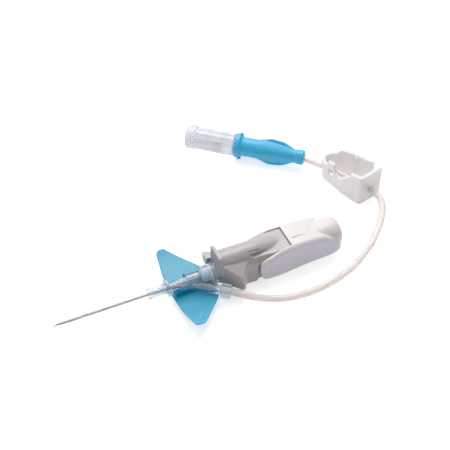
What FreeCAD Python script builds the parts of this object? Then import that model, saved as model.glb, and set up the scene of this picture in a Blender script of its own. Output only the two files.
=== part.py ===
# Intravenous cannula set: catheter with wings and side port, safety needle with
# its shield and handle, extension tube, pinch clamp, luer hub and vent plug.
# Millimetres. X runs from the needle tip to the handle, Y to the far side, Z up.
# The origin is the middle of the wing platform's flat underside.
import FreeCAD
import Part
import math
import os

Vector = FreeCAD.Vector
os.makedirs("parts", exist_ok=True)

# Needle and catheter
axisHeight = 5.5            # needle line above the table
tipToOrigin = 40.5          # needle tip to the middle of the platform
needleDiameter = 0.62
needleBore = 0.38
bevelLength = 2.2
notchFromTip = 7.0          # flashback notch, the first place where blood shows
notchLength = 1.6
notchDepth = 0.14
runningClearance = 0.02     # needle in the catheter
passClearance = 0.05        # needle in the wedge, septum and shield parts
catheterDiameter = 0.90
catheterSetback = 3.0       # catheter tip behind the needle tip
catheterTaper = 1.6
catheterFlare = 1.5         # length over which the tube opens onto the wedge

# Catheter adapter, stations along X
noseFront = -13.2
noseLength = 5.3
noseDiameter = 2.9
noseBore = 2.0
noseRimDiameter = 3.25
noseRimLength = 0.8
noseFlangeDiameter = 4.8
noseFlangeThickness = 0.8
coneFrontDiameter = 1.25    # the slim cone that guides the catheter inside the nose
coneRearDiameter = 1.75
coneSetback = 1.3
neckFrontDiameter = 2.3
neckRearDiameter = 2.9
collarFront = -1.9
collarDiameter = 4.6
collarLength = 1.9
barrelDiameter = 4.6
shoulderX = 2.4
shoulderLength = 0.35
bodyFrontDiameter = 5.5
bodyRearDiameter = 6.1
bodyRear = 6.1
ringDiameter = 6.5
ringLength = 0.8
chamberDiameter = 2.2
septumLength = 2.6
septumDiameter = 3.9
washerSeatDiameter = 4.6
septumWasherThickness = 0.5
wedgeLength = 4.3
wedgeTubeDiameter = 1.06
wedgeMouthDiameter = 2.0
wedgeMouthLength = 1.0

# Side port
portStartX = -1.35
portDrop = 0.9              # port axis below the needle line where they cross
portAngle = 35.7            # in plan, from the device axis
portSlope = 3.6             # downwards, degrees
portLength = 12.5
portDiameter = 2.9
portCollarDiameter = 4.1
portCollarLength = 2.9
portBore = 1.2
tubeSocketDepth = 2.8

# Wing platform
platformLength = 12.5
platformHalfWidth = 3.2
wingHalfSpan = 15.1
wingThickness = 0.6
wingTipHeight = 4.45
wingSagDepth = 0.85         # how far the wing hangs below a straight line to its tip
wingTipRadius = 1.5
wingTipLength = 2.5         # straight end of the wing, before its corners are rounded
wingTipSetback = 1.25
wingRootHalfWidth = 2.8
wingRearSetback = 0.8
cradleHalfWidth = 1.4
cradleFlare = 0.5
cradleSetback = 1.2

# Shield grip
shieldClearance = 0.15
tabFront = 7.05
tabThickness = 1.1
tabHalfWidth = 3.2
tabTop = 13.1
tabBottom = 3.6
tabRidges = 6
tabRidgeDepth = 0.35
spigotDiameter = 4.3
spigotLength = 1.3
hoodRadius = 3.8
hoodHeight = 8.5            # centre line of the hood
hoodTaperLength = 9.6       # the hood's rear end sinks into the panel over this length
flankFront = 14.6           # the hood's flanks are cut flat from here to flankRear
flankRear = 22.6
flankHalfWidth = 2.75
creaseLength = 1.2
reliefLength = 3.2
reliefWidth = 0.4
reliefDepth = 0.15
gripTip = 7.6               # half width at the wing-like stops
gripTipX = 12.2
gripTipLength = 1.1
gripWaist = 4.3
gripShoulder = 18.4
farStopFront = 5.9
farStopHalfWidth = 7.1
farStopHeight = 7.7
farStopFloor = 5.0
farStopRear = 10.5
gripFloorFront = 4.0
gripFloorRear = 1.1
shelfHeight = 8.0           # outer edge of the shelf beside the hood
shelfRoot = 10.0            # the shelf where it meets the hood
shelfFrontRise = 0.8
gripWall = 1.0
panelHalfWidth = 3.6
panelRear = 28.8
panelTop = 10.4
lidFrontHalfWidth = 4.5     # the panel's top laps over the handle's arms
lidRearHalfWidth = 3.75
lidThickness = 0.8
seamBendX = 25.8
barrelBore = 4.6
barrelWall = 0.65

# Parts inside the shield
canisterLength = 14.0
canisterFront = 10.0
canisterWall = 0.45
clipThickness = 0.2
clipHeight = 1.8
retainerThickness = 0.3
endCapLength = 2.6

# Handle
handleRear = 46.1
armGap = 0.55               # between the grip's shoulder and the arms
cavityHalfWidth = panelHalfWidth + shieldClearance
cavityFloor = gripFloorRear - 0.2
innerCavityRear = 36.0
innerCavityFloor = 2.0
innerCavityTop = 9.4
innerCavityHalfWidth = 3.4
carrierDiameter = 2.6
carrierLength = 8.0
carrierFlangeDiameter = 4.2
padInset = 0.25             # the pad starts behind the front of its arm
dishRadius = 12.0
dishSetback = 0.1
dishBottom = 7.4
dashLength = 3.4
dashWidth = 0.5
dashDepth = 0.3
dashY = -1.6

# Extension tube, pinch clamp, luer hub and vent plug
tubeDiameter = 2.1
tubeBore = 1.2
lineHeight = 4.1            # height of the tube in the clamp and of the hub's axis
clampEntry = Vector(64.6, 13.2, lineHeight)
clampAngle = 118.8
clampWidth = 10.2
clampWall = 1.1
clampNotchDepth = 4.6
clampSlotLength = 2.6
clampSlotHeight = 4.2
clampSlotMiddle = 12.3
clampHoleDiameter = 2.5
hubBendFromEntry = 22.3     # where the tube turns from the clamp towards the hub
hubBendToRear = 1.6
hubAngle = 139.3
hubLength = 22.2
hubFlangeDiameter = 7.8
hubFlangeLength = 1.5
hubBodyDiameter = 6.1
hubBodyLength = 8.0
hubNeckDiameter = 4.3
hubCollarDiameter = 4.7
hubCollarLength = 2.2
hubSocketDepth = 4.5
hubRoll = 28.0              # the fins lie this far round from upright
finSpan = 4.1
finThickness = 1.5
luerMouthDiameter = 4.28
luerTaper = 0.06
luerDepth = 7.5
plugVisibleLength = 15.9
plugGap = 0.4
plugDiameter = 6.9
plugRimDiameter = 7.7
plugRimLength = 2.9
plugBore = 5.6
plugRibs = 14
plugRibHeight = 0.2
plugTaperLength = 7.0
plugTaperFit = 0.04
filterThickness = 1.2


def turned(profile, start=Vector(0, 0, axisHeight), direction=Vector(1, 0, 0)):
    """A solid of revolution. The profile is a loop of (distance, radius)."""
    loop = [Vector(distance, 0, radius) for distance, radius in profile]
    face = Part.Face(Part.makePolygon(loop + loop[:1]))
    solid = face.revolve(Vector(0, 0, 0), Vector(1, 0, 0), 360)
    solid.Placement = FreeCAD.Placement(start, FreeCAD.Rotation(Vector(1, 0, 0), direction))
    return solid


def rod(x0, x1, diameter, height=axisHeight):
    return Part.makeCylinder(diameter / 2, x1 - x0, Vector(x0, 0, height), Vector(1, 0, 0))


def roundedLoop(corners, place):
    """A closed wire through corners (a, b, radius), each rounded by its radius."""
    edges = []
    starts = []
    ends = []
    middles = []
    count = len(corners)
    for index, (a, b, radius) in enumerate(corners):
        here = Vector(a, b, 0)
        before = Vector(*corners[index - 1][:2], 0)
        after = Vector(*corners[(index + 1) % count][:2], 0)
        if radius == 0:
            starts.append(here)
            ends.append(here)
            middles.append(None)
            continue
        toBefore = (before - here).normalize()
        toAfter = (after - here).normalize()
        half = toBefore.getAngle(toAfter) / 2
        starts.append(here + toBefore * (radius / math.tan(half)))
        ends.append(here + toAfter * (radius / math.tan(half)))
        inward = (toBefore + toAfter).normalize()
        middles.append(here + inward * (radius / math.sin(half) - radius))
    for index in range(count):
        if middles[index] is not None:
            arc = [place(p.x, p.y) for p in (starts[index], middles[index], ends[index])]
            edges.append(Part.Arc(*arc).toShape())
        nextStart = starts[(index + 1) % count]
        if (nextStart - ends[index]).Length > 1e-6:
            line = [place(p.x, p.y) for p in (ends[index], nextStart)]
            edges.append(Part.LineSegment(*line).toShape())
    return Part.Wire(Part.__sortEdges__(edges))


def planPrism(corners, z0, z1):
    wire = roundedLoop(corners, lambda a, b: Vector(a, b, z0))
    return Part.Face(wire).extrude(Vector(0, 0, z1 - z0))


def sidePrism(corners, y0, y1):
    wire = roundedLoop(corners, lambda a, b: Vector(a, y0, b))
    return Part.Face(wire).extrude(Vector(0, y1 - y0, 0))


def endPrism(corners, x0, x1):
    wire = roundedLoop(corners, lambda a, b: Vector(x0, a, b))
    return Part.Face(wire).extrude(Vector(x1 - x0, 0, 0))


def bothSides(shape):
    return shape.fuse(shape.mirror(Vector(0, 0, 0), Vector(0, 1, 0)))


def oneSolid(shape):
    shape = shape.removeSplitter()
    return shape.Solids[0] if len(shape.Solids) == 1 else shape


# Needle and the parts of the catheter

tipX = -tipToOrigin
catheterTipX = tipX + catheterSetback
catheterBore = needleDiameter + 2 * runningClearance
passBore = needleDiameter + 2 * passClearance
coneFront = noseFront + coneSetback
noseRear = noseFront + noseLength
flangeRear = noseRear + noseFlangeThickness
wedgeFront = flangeRear - 0.9
wedgeRear = wedgeFront + wedgeLength
flareInner = wedgeTubeDiameter
flareOuter = flareInner + (catheterDiameter - catheterBore)
carrierFront = innerCavityRear - carrierLength + 3.0


def needle():
    radius = needleDiameter / 2
    tube = rod(tipX, innerCavityRear + 1.0, needleDiameter)
    tube = tube.cut(rod(tipX - 1, innerCavityRear + 0.5, needleBore))
    bevel = sidePrism([
        (tipX, axisHeight - radius, 0),
        (tipX + bevelLength, axisHeight + radius, 0),
        (tipX + bevelLength, axisHeight + 2, 0),
        (tipX - 1, axisHeight + 2, 0),
        (tipX - 1, axisHeight - radius, 0),
    ], -1, 1)
    notch = Part.makeBox(notchLength, 1, 1,
                         Vector(tipX + notchFromTip, -0.5, axisHeight + radius - notchDepth))
    return tube.cut(bevel).cut(notch)


def catheter():
    radius = catheterDiameter / 2
    bore = catheterBore / 2
    flareStart = wedgeFront - catheterFlare
    rear = wedgeFront + wedgeLength - wedgeMouthLength - 0.4
    return turned([
        (catheterTipX, bore + 0.03),
        (catheterTipX + catheterTaper, radius),
        (flareStart, radius),
        (wedgeFront, flareOuter / 2),
        (rear, flareOuter / 2),
        (rear, flareInner / 2),
        (wedgeFront, flareInner / 2),
        (flareStart, bore),
        (catheterTipX, bore),
    ])


def catheterWedge():
    mouth = wedgeRear - wedgeMouthLength
    wall = 0.15
    return turned([
        (wedgeFront, passBore / 2),
        (wedgeFront, flareInner / 2),
        (mouth, flareInner / 2),
        (wedgeRear, wedgeMouthDiameter / 2),
        (wedgeRear, wedgeMouthDiameter / 2 - wall),
        (mouth, passBore / 2),
    ])


# Clear adapter with its nose tube, barrel and side port

portDirection = Vector(
    math.cos(math.radians(portSlope)) * math.cos(math.radians(portAngle)),
    -math.cos(math.radians(portSlope)) * math.sin(math.radians(portAngle)),
    -math.sin(math.radians(portSlope)),
)
portStart = Vector(portStartX, 0, axisHeight - portDrop)
portMouth = portStart + portDirection * portLength
ringRear = bodyRear + ringLength
septumFront = bodyRear - spigotLength - septumWasherThickness - septumLength + ringLength
septumRear = septumFront + septumLength
washerRear = septumRear + septumWasherThickness


def adapterOutside():
    collarRear = collarFront + collarLength
    noseRim = noseFront + noseRimLength
    body = turned([
        (noseFront, 0),
        (noseFront, noseRimDiameter / 2),
        (noseRim, noseRimDiameter / 2),
        (noseRim + 0.15, noseDiameter / 2),
        (noseRear, noseDiameter / 2),
        (noseRear, noseFlangeDiameter / 2),
        (flangeRear, noseFlangeDiameter / 2),
        (flangeRear, neckFrontDiameter / 2),
        (collarFront, neckRearDiameter / 2),
        (collarFront, collarDiameter / 2),
        (collarRear, collarDiameter / 2),
        (collarRear + 0.15, barrelDiameter / 2 - 0.1),
        (shoulderX, barrelDiameter / 2 - 0.1),
        (shoulderX + shoulderLength, bodyFrontDiameter / 2),
        (bodyRear, bodyRearDiameter / 2),
        (bodyRear, ringDiameter / 2),
        (ringRear, ringDiameter / 2),
        (ringRear, 0),
    ])
    port = Part.makeCylinder(portDiameter / 2, portLength - 0.9, portStart + portDirection * 0.9, portDirection)
    collarStart = portStart + portDirection * (portLength - portCollarLength)
    collar = Part.makeCylinder(portCollarDiameter / 2, portCollarLength, collarStart, portDirection)
    return body.fuse([port, collar])


def adapter():
    nose = turned([
        (noseFront - 1, coneFrontDiameter / 2 - 0.1),
        (noseFront - 1, noseBore / 2),
        (noseRear, noseBore / 2),
        (noseRear, coneRearDiameter / 2),
        (coneFront, coneFrontDiameter / 2),
        (coneFront, 0),
        (noseFront - 1, 0),
    ])
    mouth = wedgeRear - wedgeMouthLength
    passage = turned([
        (coneFront - 0.1, 0),
        (coneFront - 0.1, catheterDiameter / 2),
        (wedgeFront - catheterFlare, catheterDiameter / 2),
        (wedgeFront, flareOuter / 2),
        (mouth - 0.4, flareOuter / 2),
        (mouth, flareOuter / 2),
        (wedgeRear, wedgeMouthDiameter / 2),
        (wedgeRear, chamberDiameter / 2),
        (septumFront, chamberDiameter / 2),
        (septumFront, septumDiameter / 2),
        (septumRear, septumDiameter / 2),
        (septumRear, washerSeatDiameter / 2),
        (ringRear + 1, washerSeatDiameter / 2),
        (ringRear + 1, 0),
    ])
    portPassage = Part.makeCylinder(portBore / 2, portLength, portStart + portDirection * 0.6, portDirection)
    socket = Part.makeCylinder(tubeDiameter / 2, tubeSocketDepth + 1,
                               portMouth - portDirection * tubeSocketDepth, portDirection)
    return oneSolid(adapterOutside().cut([nose, passage, portPassage, socket]))


def septum():
    return turned([
        (septumFront, passBore / 2),
        (septumFront, septumDiameter / 2),
        (septumRear, septumDiameter / 2),
        (septumRear, passBore / 2),
    ])


def septumWasher():
    return turned([
        (septumRear, chamberDiameter / 2),
        (septumRear, washerSeatDiameter / 2),
        (washerRear, washerSeatDiameter / 2),
        (washerRear, chamberDiameter / 2),
    ])


# Wings: one curved strip cut to a butterfly outline, with a cradle under the adapter

def wingPlatform():
    half = platformHalfWidth
    reach = wingHalfSpan + 1
    tip = wingTipHeight * reach / wingHalfSpan
    middle = (half + reach) / 2
    top = wingThickness

    def arc(y0, y1, y2, lift):
        low = Vector(0, y0, lift if abs(y0) < reach else tip + lift)
        mid = Vector(0, y1, tip / 2 - wingSagDepth + lift)
        high = Vector(0, y2, lift if abs(y2) < reach else tip + lift)
        return Part.Arc(low, mid, high).toShape()

    def line(y0, z0, y1, z1):
        return Part.LineSegment(Vector(0, y0, z0), Vector(0, y1, z1)).toShape()

    edges = [
        line(-half, 0, half, 0),
        arc(half, middle, reach, 0),
        line(reach, tip, reach, tip + top),
        arc(reach, middle, half, top),
        line(half, top, -half, top),
        arc(-half, -middle, -reach, top),
        line(-reach, tip + top, -reach, tip),
        arc(-reach, -middle, -half, 0),
    ]
    strip = Part.Face(Part.Wire(edges)).extrude(Vector(40, 0, 0))
    strip.translate(Vector(-20, 0, 0))
    front = -platformLength / 2
    rear = platformLength / 2
    outline = [
        (front, 0, 0),
        (front, wingRootHalfWidth / 2, 0),
        (front + 0.3, wingHalfSpan / 2, 9),
        (front + wingTipSetback, wingHalfSpan, wingTipRadius),
        (front + wingTipSetback + wingTipLength, wingHalfSpan, wingTipRadius),
        (rear - wingRearSetback, wingHalfSpan * 0.41, 2),
        (rear, wingRootHalfWidth, 0),
        (rear, 0, 0),
    ]
    wings = bothSides(planPrism(outline, -1, 12)).common(strip)
    cradle = endPrism([
        (-cradleHalfWidth - cradleFlare, wingThickness / 2, 0),
        (cradleHalfWidth + cradleFlare, wingThickness / 2, 0),
        (cradleHalfWidth, axisHeight - 1.4, 0),
        (-cradleHalfWidth, axisHeight - 1.4, 0),
    ], front + cradleSetback, rear - cradleSetback)
    return oneSolid(wings.fuse(cradle).cut(adapterOutside()))


# Shield grip: push-off tab, hood, finger stops and the panel that fits in the handle

def gripOutline(side):
    """Plan of the grip, from the tab round one side to the rear of the panel."""
    rootX = tabFront + 0.4
    if side < 0:
        front = [(rootX, 0, 0), (rootX, 3.0, 0), (gripTipX, gripTip, 0.5),
                 (gripTipX + gripTipLength, gripTip - 0.3, 0.4)]
    else:
        front = [(rootX, 0, 0), (rootX, 3.6, 0), (farStopFront, 3.6, 0),
                 (farStopFront, farStopHalfWidth, 0.5), (farStopRear, gripWaist + 0.5, 1.5)]
    rest = [(gripTipX + gripTipLength + 0.3, gripWaist, 2.5), (gripShoulder, gripWaist, 0),
            (gripShoulder, panelHalfWidth, 0), (panelRear, panelHalfWidth, 0), (panelRear, 0, 0)]
    return [(x, side * y, radius) for x, y, radius in front + rest]


def seamHeight(x):
    """Height of the panel's edge, where it laps over the handle's arms."""
    bendHeight = panelTop - 0.15
    if x >= seamBendX:
        return bendHeight + (panelTop - bendHeight) * (x - seamBendX) / (panelRear - seamBendX)
    return shelfHeight + (bendHeight - shelfHeight) * (x - gripShoulder) / (seamBendX - gripShoulder)


def gripSide():
    """Side view of the grip under its shelf and the panel's flat top."""
    return sidePrism([
        (farStopFront - 1, gripFloorFront + 0.2, 0),
        (gripTipX + 0.6, gripFloorFront, 0.8),
        (gripTipX + 2.8, gripFloorRear + 0.2, 2),
        (gripShoulder + 0.6, gripFloorRear, 0),
        (panelRear, gripFloorRear, 0),
        (panelRear, panelTop, 0.3),
        (gripShoulder, shelfRoot, 0),
        (gripTipX, shelfRoot, 0),
        (farStopFront - 1, shelfRoot + shelfFrontRise, 0),
    ], -12, 12)


def panelLid(gap):
    """The overlapping top of the panel, grown by a gap where it is used as a cutter."""
    halfPlan = [(gripShoulder - gap, 0, 0), (gripShoulder - gap, lidFrontHalfWidth + gap, 0),
                (panelRear + gap, lidRearHalfWidth + gap, 0), (panelRear + gap, 0, 0)]
    plan = bothSides(planPrism(halfPlan, 0, 16))
    under = lidThickness + gap
    band = sidePrism([
        (gripShoulder - gap, seamHeight(gripShoulder) - under, 0),
        (seamBendX, seamHeight(seamBendX) - under, 6),
        (panelRear + gap, panelTop - under, 0),
        (panelRear + gap, 16, 0),
        (gripShoulder - gap, 16, 0),
    ], -12, 12)
    return plan.common(band)


def shelfCutter(side):
    """What lies above the shelf and the panel's falling edge, on one side."""
    far = side > 0
    rootFront = farStopHeight + 0.1 if far else shelfRoot + shelfFrontRise
    edgeFront = farStopHeight if far else shelfHeight
    stations = [
        (farStopFront - 1, hoodRadius - 0.3, rootFront, gripTip, edgeFront),
        (gripTipX, hoodRadius - 0.3, farStopHeight + 0.1 if far else shelfRoot, gripTip, edgeFront),
        (gripTipX + 3.2, hoodRadius - 0.3, shelfRoot, gripWaist + 0.9, shelfHeight),
        (gripShoulder, hoodRadius - 0.3, shelfRoot, lidFrontHalfWidth, seamHeight(gripShoulder)),
        ((gripShoulder + seamBendX) / 2, hoodRadius - 0.1, (shelfRoot + panelTop) / 2,
         lidFrontHalfWidth, seamHeight((gripShoulder + seamBendX) / 2)),
        (seamBendX + 0.5, lidRearHalfWidth, panelTop, lidFrontHalfWidth, panelTop - 0.1),
    ]
    wires = []
    for x, root, rootHeight, edge, edgeHeight in stations:
        fall = (rootHeight - edgeHeight) / (edge - root)
        corners = [(root, rootHeight), (edge + 1, edgeHeight - fall), (edge + 6, edgeHeight - fall),
                   (edge + 6, 16), (root, 16)]
        loop = [Vector(x, side * y, z) for y, z in corners]
        wires.append(Part.makePolygon(loop + loop[:1]))
    return Part.makeLoft(wires, True, True)


def shieldGrip():
    body = planPrism(gripOutline(-1), 0, 14).fuse([planPrism(gripOutline(1), 0, 14), panelLid(0)])
    farStopUnder = Part.makeBox(tabFront + 0.4 - farStopFront + 1, gripTip, farStopFloor,
                                Vector(farStopFront - 1, 3.4, 0))
    body = body.common(gripSide()).cut([shelfCutter(-1), shelfCutter(1), farStopUnder])
    pocket = planPrism([
        (9.8, -3.5, 0),
        (gripTipX + 0.2, gripWall - gripTip, 0),
        (gripTipX + gripTipLength, gripWall - gripWaist, 0),
        (gripShoulder - gripWall, gripWall - gripWaist, 0),
        (gripShoulder - gripWall, -3.0, 0),
        (9.8, -3.0, 0),
    ], 0, shelfHeight - 1.3)
    barrel = rod(tabFront + 0.5, panelRear, barrelBore + 2 * barrelWall)
    body = body.cut(pocket).fuse(barrel)
    taperFront = panelRear - 1.2 - hoodTaperLength
    hood = turned([
        (tabFront + 0.5, 0),
        (tabFront + 0.5, hoodRadius),
        (taperFront, hoodRadius - 0.1),
        (taperFront + hoodTaperLength * 0.25, hoodRadius - 0.35),
        (taperFront + hoodTaperLength * 0.45, hoodRadius - 0.75),
        (taperFront + hoodTaperLength * 0.65, hoodRadius - 1.25),
        (taperFront + hoodTaperLength, hoodRadius - 2.1),
        (taperFront + hoodTaperLength, 0),
    ], Vector(0, 0, hoodHeight))
    flank = planPrism([
        (flankFront, hoodRadius + 0.1, 0),
        (flankFront + creaseLength, flankHalfWidth, 0),
        (flankRear - 0.7, flankHalfWidth - 0.25, 0.5),
        (flankRear, hoodRadius + 0.1, 0),
    ], shelfRoot - 0.5, 16)
    hood = hood.cut(bothSides(flank))
    tab = endPrism([
        (-tabHalfWidth, tabBottom, 0.8),
        (tabHalfWidth, tabBottom, 0.8),
        (tabHalfWidth, tabTop, 0.5),
        (-tabHalfWidth, tabTop, 1.3),
    ], tabFront, tabFront + tabThickness)
    spigot = rod(tabFront - 0.1 - spigotLength, tabFront + 0.2, spigotDiameter)
    body = body.fuse([hood, tab, spigot])
    pitch = 2 * tabHalfWidth / tabRidges
    grooves = []
    for index in range(tabRidges):
        y = -tabHalfWidth + (index + 0.5) * pitch
        groove = planPrism([
            (tabFront - 0.01, y - pitch * 0.32, 0),
            (tabFront + tabRidgeDepth, y, 0),
            (tabFront - 0.01, y + pitch * 0.32, 0),
        ], axisHeight + ringDiameter / 2, tabTop + 1)
        grooves.append(groove)
    relief = planPrism([
        (flankFront + creaseLength, reliefWidth - flankHalfWidth, 0),
        (flankFront + creaseLength + reliefLength, reliefWidth - flankHalfWidth + 0.1, 0),
        (flankFront + creaseLength + reliefLength, 0.1 - flankHalfWidth, 0),
        (flankFront + creaseLength, -flankHalfWidth, 0),
    ], hoodHeight + math.sqrt(hoodRadius ** 2 - flankHalfWidth ** 2) - reliefDepth, 16)
    bore = rod(canisterFront - 0.6, panelRear + 1, barrelBore)
    needleWay = rod(0, panelRear, passBore)
    return oneSolid(body.cut(grooves + [relief, bore, needleWay]))


def shieldCanister():
    rear = canisterFront + canisterLength
    outer = barrelBore / 2 - 0.03
    return turned([
        (canisterFront, passBore / 2),
        (canisterFront, outer),
        (rear, outer),
        (rear, outer - canisterWall),
        (canisterFront + 0.8, outer - canisterWall),
        (canisterFront + 0.8, passBore / 2),
    ])


def shieldRetainer():
    rear = canisterFront + canisterLength - 0.4
    outer = barrelBore / 2 - 0.03 - canisterWall - 0.02
    return turned([
        (rear - retainerThickness, passBore / 2),
        (rear - retainerThickness, outer),
        (rear, outer),
        (rear, passBore / 2),
    ])


def shieldClip():
    base = canisterFront + canisterLength - 0.4 - retainerThickness - 0.05
    front = canisterFront + 2.2
    near = needleDiameter / 2 + 0.12

    def leaf(side):
        return [(base, side * 1.5), (base - clipThickness * 1.2, side * 1.5),
                (front + 1.2, side * (near + clipThickness)), (front, side * (near + 0.85)),
                (front - 0.12, side * (near + 0.7)), (front + 1.15, side * near),
                (base - clipThickness * 1.2, side * 1.24), (base, side * 1.24)]

    leaves = []
    for side in (-1, 1):
        outline = [(x, y, 0) for x, y in leaf(side)]
        leaves.append(planPrism(outline, axisHeight - clipHeight / 2, axisHeight + clipHeight / 2))
    plate = Part.makeBox(clipThickness, 3.0, clipHeight,
                         Vector(base - clipThickness, -1.5, axisHeight - clipHeight / 2))
    return oneSolid(plate.fuse(leaves).cut(rod(0, base + 1, passBore)))


def shieldEndCap():
    front = panelRear - endCapLength
    outer = barrelBore / 2 - 0.02
    return turned([
        (front, passBore / 2),
        (front, outer - 0.5),
        (front + 0.5, outer),
        (panelRear, outer),
        (panelRear, passBore / 2),
    ])


# Handle: a lofted shell with two arms beside the shield's panel

armFront = gripShoulder + armGap
padInner = lidFrontHalfWidth + shieldClearance


def handleOutside():
    """Sections along X: place, half width, underside, top and the two corner radii."""
    sections = [
        (gripShoulder - 0.4, 4.95, 0.60, 9.5, 1.6, 1.2),
        (22.5, 5.30, 0.15, 10.4, 2.0, 1.3),
        (27.0, 5.30, 0.30, 10.7, 2.0, 1.4),
        (31.5, 5.15, 0.75, 10.9, 2.0, 1.5),
        (36.5, 5.10, 1.10, 10.4, 2.0, 1.6),
        (41.0, 5.15, 1.30, 9.1, 2.0, 1.6),
        (43.8, 4.90, 1.60, 8.6, 1.9, 1.6),
        (45.3, 4.15, 2.10, 8.6, 1.8, 1.5),
        (handleRear, 3.30, 2.80, 7.9, 1.5, 1.3),
    ]
    wires = []
    for x, half, low, high, lowRadius, highRadius in sections:
        corners = [(-half, low, lowRadius), (half, low, lowRadius),
                   (half, high, highRadius), (-half, high, highRadius)]
        wires.append(roundedLoop(corners, lambda a, b, at=x: Vector(at, a, b)))
    body = Part.makeLoft(wires, True, False)
    rise = 0.1
    silhouette = sidePrism([
        (armFront, 0, 4.0),
        (handleRear + 5, 0, 0),
        (handleRear + 5, 16, 0),
        (panelRear + shieldClearance, 16, 0),
        (panelRear + shieldClearance, panelTop + rise, 0),
        (seamBendX, seamHeight(seamBendX) + rise, 6),
        (armFront, seamHeight(armFront) + rise, 1.4),
    ], -12, 12)
    return body.common(silhouette)


def padCutter(side):
    """The pad's outline in side view. Its front end follows the front of the arm."""
    front = armFront + padInset
    outline = sidePrism([
        (front + 2.2, 0.9, 2.6),
        (front + 9.0, 1.9, 20),
        (handleRear - 3.2, 2.3, 1.6),
        (handleRear - 1.9, 5.2, 1.8),
        (handleRear - 4.6, 8.5, 6),
        (handleRear - 12.4, 11.2, 9),
        (front + 7.2, 9.9, 12),
        (front + 1.0, 7.9, 1.8),
        (front - 0.2, 6.0, 1.6),
    ], side * padInner, side * 9)
    return outline


def handleShell():
    cavity = Part.makeBox(panelRear + shieldClearance - 10, 2 * cavityHalfWidth, 20,
                          Vector(10, -cavityHalfWidth, cavityFloor))
    inner = Part.makeBox(innerCavityRear - panelRear, 2 * innerCavityHalfWidth,
                         innerCavityTop - innerCavityFloor,
                         Vector(panelRear, -innerCavityHalfWidth, innerCavityFloor))
    seat = rod(innerCavityRear - 1, innerCavityRear + 3, carrierDiameter)
    dish = Part.makeSphere(dishRadius, Vector(handleRear - dishSetback, 0, dishBottom + dishRadius))
    dashTop = 10.85
    slot = Part.makeBox(dashLength, dashWidth, 1,
                        Vector(panelRear + 1.1, dashY - dashWidth / 2, dashTop - dashDepth))
    lid = panelLid(shieldClearance)
    shell = handleOutside().cut([cavity, lid, inner, seat, dish, slot, padCutter(1), padCutter(-1)])
    return oneSolid(shell)


def sidePad(side):
    dish = Part.makeSphere(dishRadius, Vector(handleRear - dishSetback, 0, dishBottom + dishRadius))
    pad = handleOutside().common(padCutter(side))
    return oneSolid(pad.cut([panelLid(shieldClearance), dish]))


def needleCarrier():
    return turned([
        (carrierFront, needleDiameter / 2),
        (carrierFront, needleDiameter / 2 + 0.35),
        (carrierFront + 1.5, carrierDiameter / 2),
        (innerCavityRear - 0.8, carrierDiameter / 2),
        (innerCavityRear - 0.8, carrierFlangeDiameter / 2),
        (innerCavityRear, carrierFlangeDiameter / 2),
        (innerCavityRear, carrierDiameter / 2),
        (innerCavityRear + 3, carrierDiameter / 2),
        (innerCavityRear + 3, 0),
        (innerCavityRear + 1, 0),
        (innerCavityRear + 1, needleDiameter / 2),
    ])


# Extension tube: straight runs joined by tangent arcs

clampDirection = Vector(math.cos(math.radians(clampAngle)), math.sin(math.radians(clampAngle)), 0)
clampAcross = Vector(math.sin(math.radians(clampAngle)), -math.cos(math.radians(clampAngle)), 0)
hubDirection = Vector(math.cos(math.radians(hubAngle)), math.sin(math.radians(hubAngle)), 0)
hubBend = clampEntry + clampDirection * hubBendFromEntry
hubRear = hubBend + hubDirection * hubBendToRear
hubSocket = hubRear + hubDirection * hubSocketDepth
tubeRoute = [
    portMouth - portDirection * tubeSocketDepth,
    portMouth + portDirection * 2.4,
    Vector(15.4, -11.3, 2.3),
    Vector(20.3, -12.9, 1.25),
    Vector(26.0, -14.2, 1.12),
    Vector(32.2, -14.3, 1.12),
    Vector(38.6, -13.2, 1.12),
    Vector(44.9, -11.1, 1.12),
    Vector(51.0, -7.7, 1.2),
    Vector(56.7, -3.6, 1.6),
    Vector(61.5, 1.2, 2.3),
    Vector(64.6, 5.4, 3.2),
    clampEntry - clampDirection * 2.5,
    hubBend,
    hubSocket,
]


def tubePath(points):
    edges = []
    here = points[0]
    for index in range(1, len(points) - 1):
        corner = points[index]
        before = points[index - 1] - corner
        after = points[index + 1] - corner
        shorter = min(before.Length, after.Length)
        toBefore = before.normalize()
        toAfter = after.normalize()
        half = toBefore.getAngle(toAfter) / 2
        reach = 0.45 * shorter
        radius = reach * math.tan(half)
        start = corner + toBefore * reach
        end = corner + toAfter * reach
        inward = (toBefore + toAfter).normalize()
        middle = corner + inward * (radius / math.sin(half) - radius)
        edges.append(Part.LineSegment(here, start).toShape())
        edges.append(Part.Arc(start, middle, end).toShape())
        print("tube corner", index, "radius %.1f" % radius)
        here = end
    edges.append(Part.LineSegment(here, points[-1]).toShape())
    length = sum(edge.Length for edge in edges)
    return Part.Wire(edges), length


def extensionTube():
    path, length = tubePath(tubeRoute)
    direction = (tubeRoute[1] - tubeRoute[0]).normalize()
    solids = []
    for diameter in (tubeDiameter, tubeBore):
        ring = Part.Wire(Part.makeCircle(diameter / 2, tubeRoute[0], direction))
        solids.append(path.makePipeShell([ring], True, False))
    tube = solids[0].cut(solids[1])
    section = math.pi / 4 * (tubeDiameter ** 2 - tubeBore ** 2)
    print("tube length %.1f, volume %.2f, section times length %.2f"
          % (length, tube.Volume, section * length))
    return oneSolid(tube)


# Pinch clamp: one moulded strip bent into a C, lying on its edge

def clampPlace(u, v, z=0):
    spot = clampEntry + clampDirection * u + clampAcross * v
    return Vector(spot.x, spot.y, z)


def clampPrism(corners, z0, z1):
    wire = roundedLoop(corners, lambda u, v: clampPlace(u, v, z0))
    return Part.Face(wire).extrude(Vector(0, 0, z1 - z0))


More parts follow.
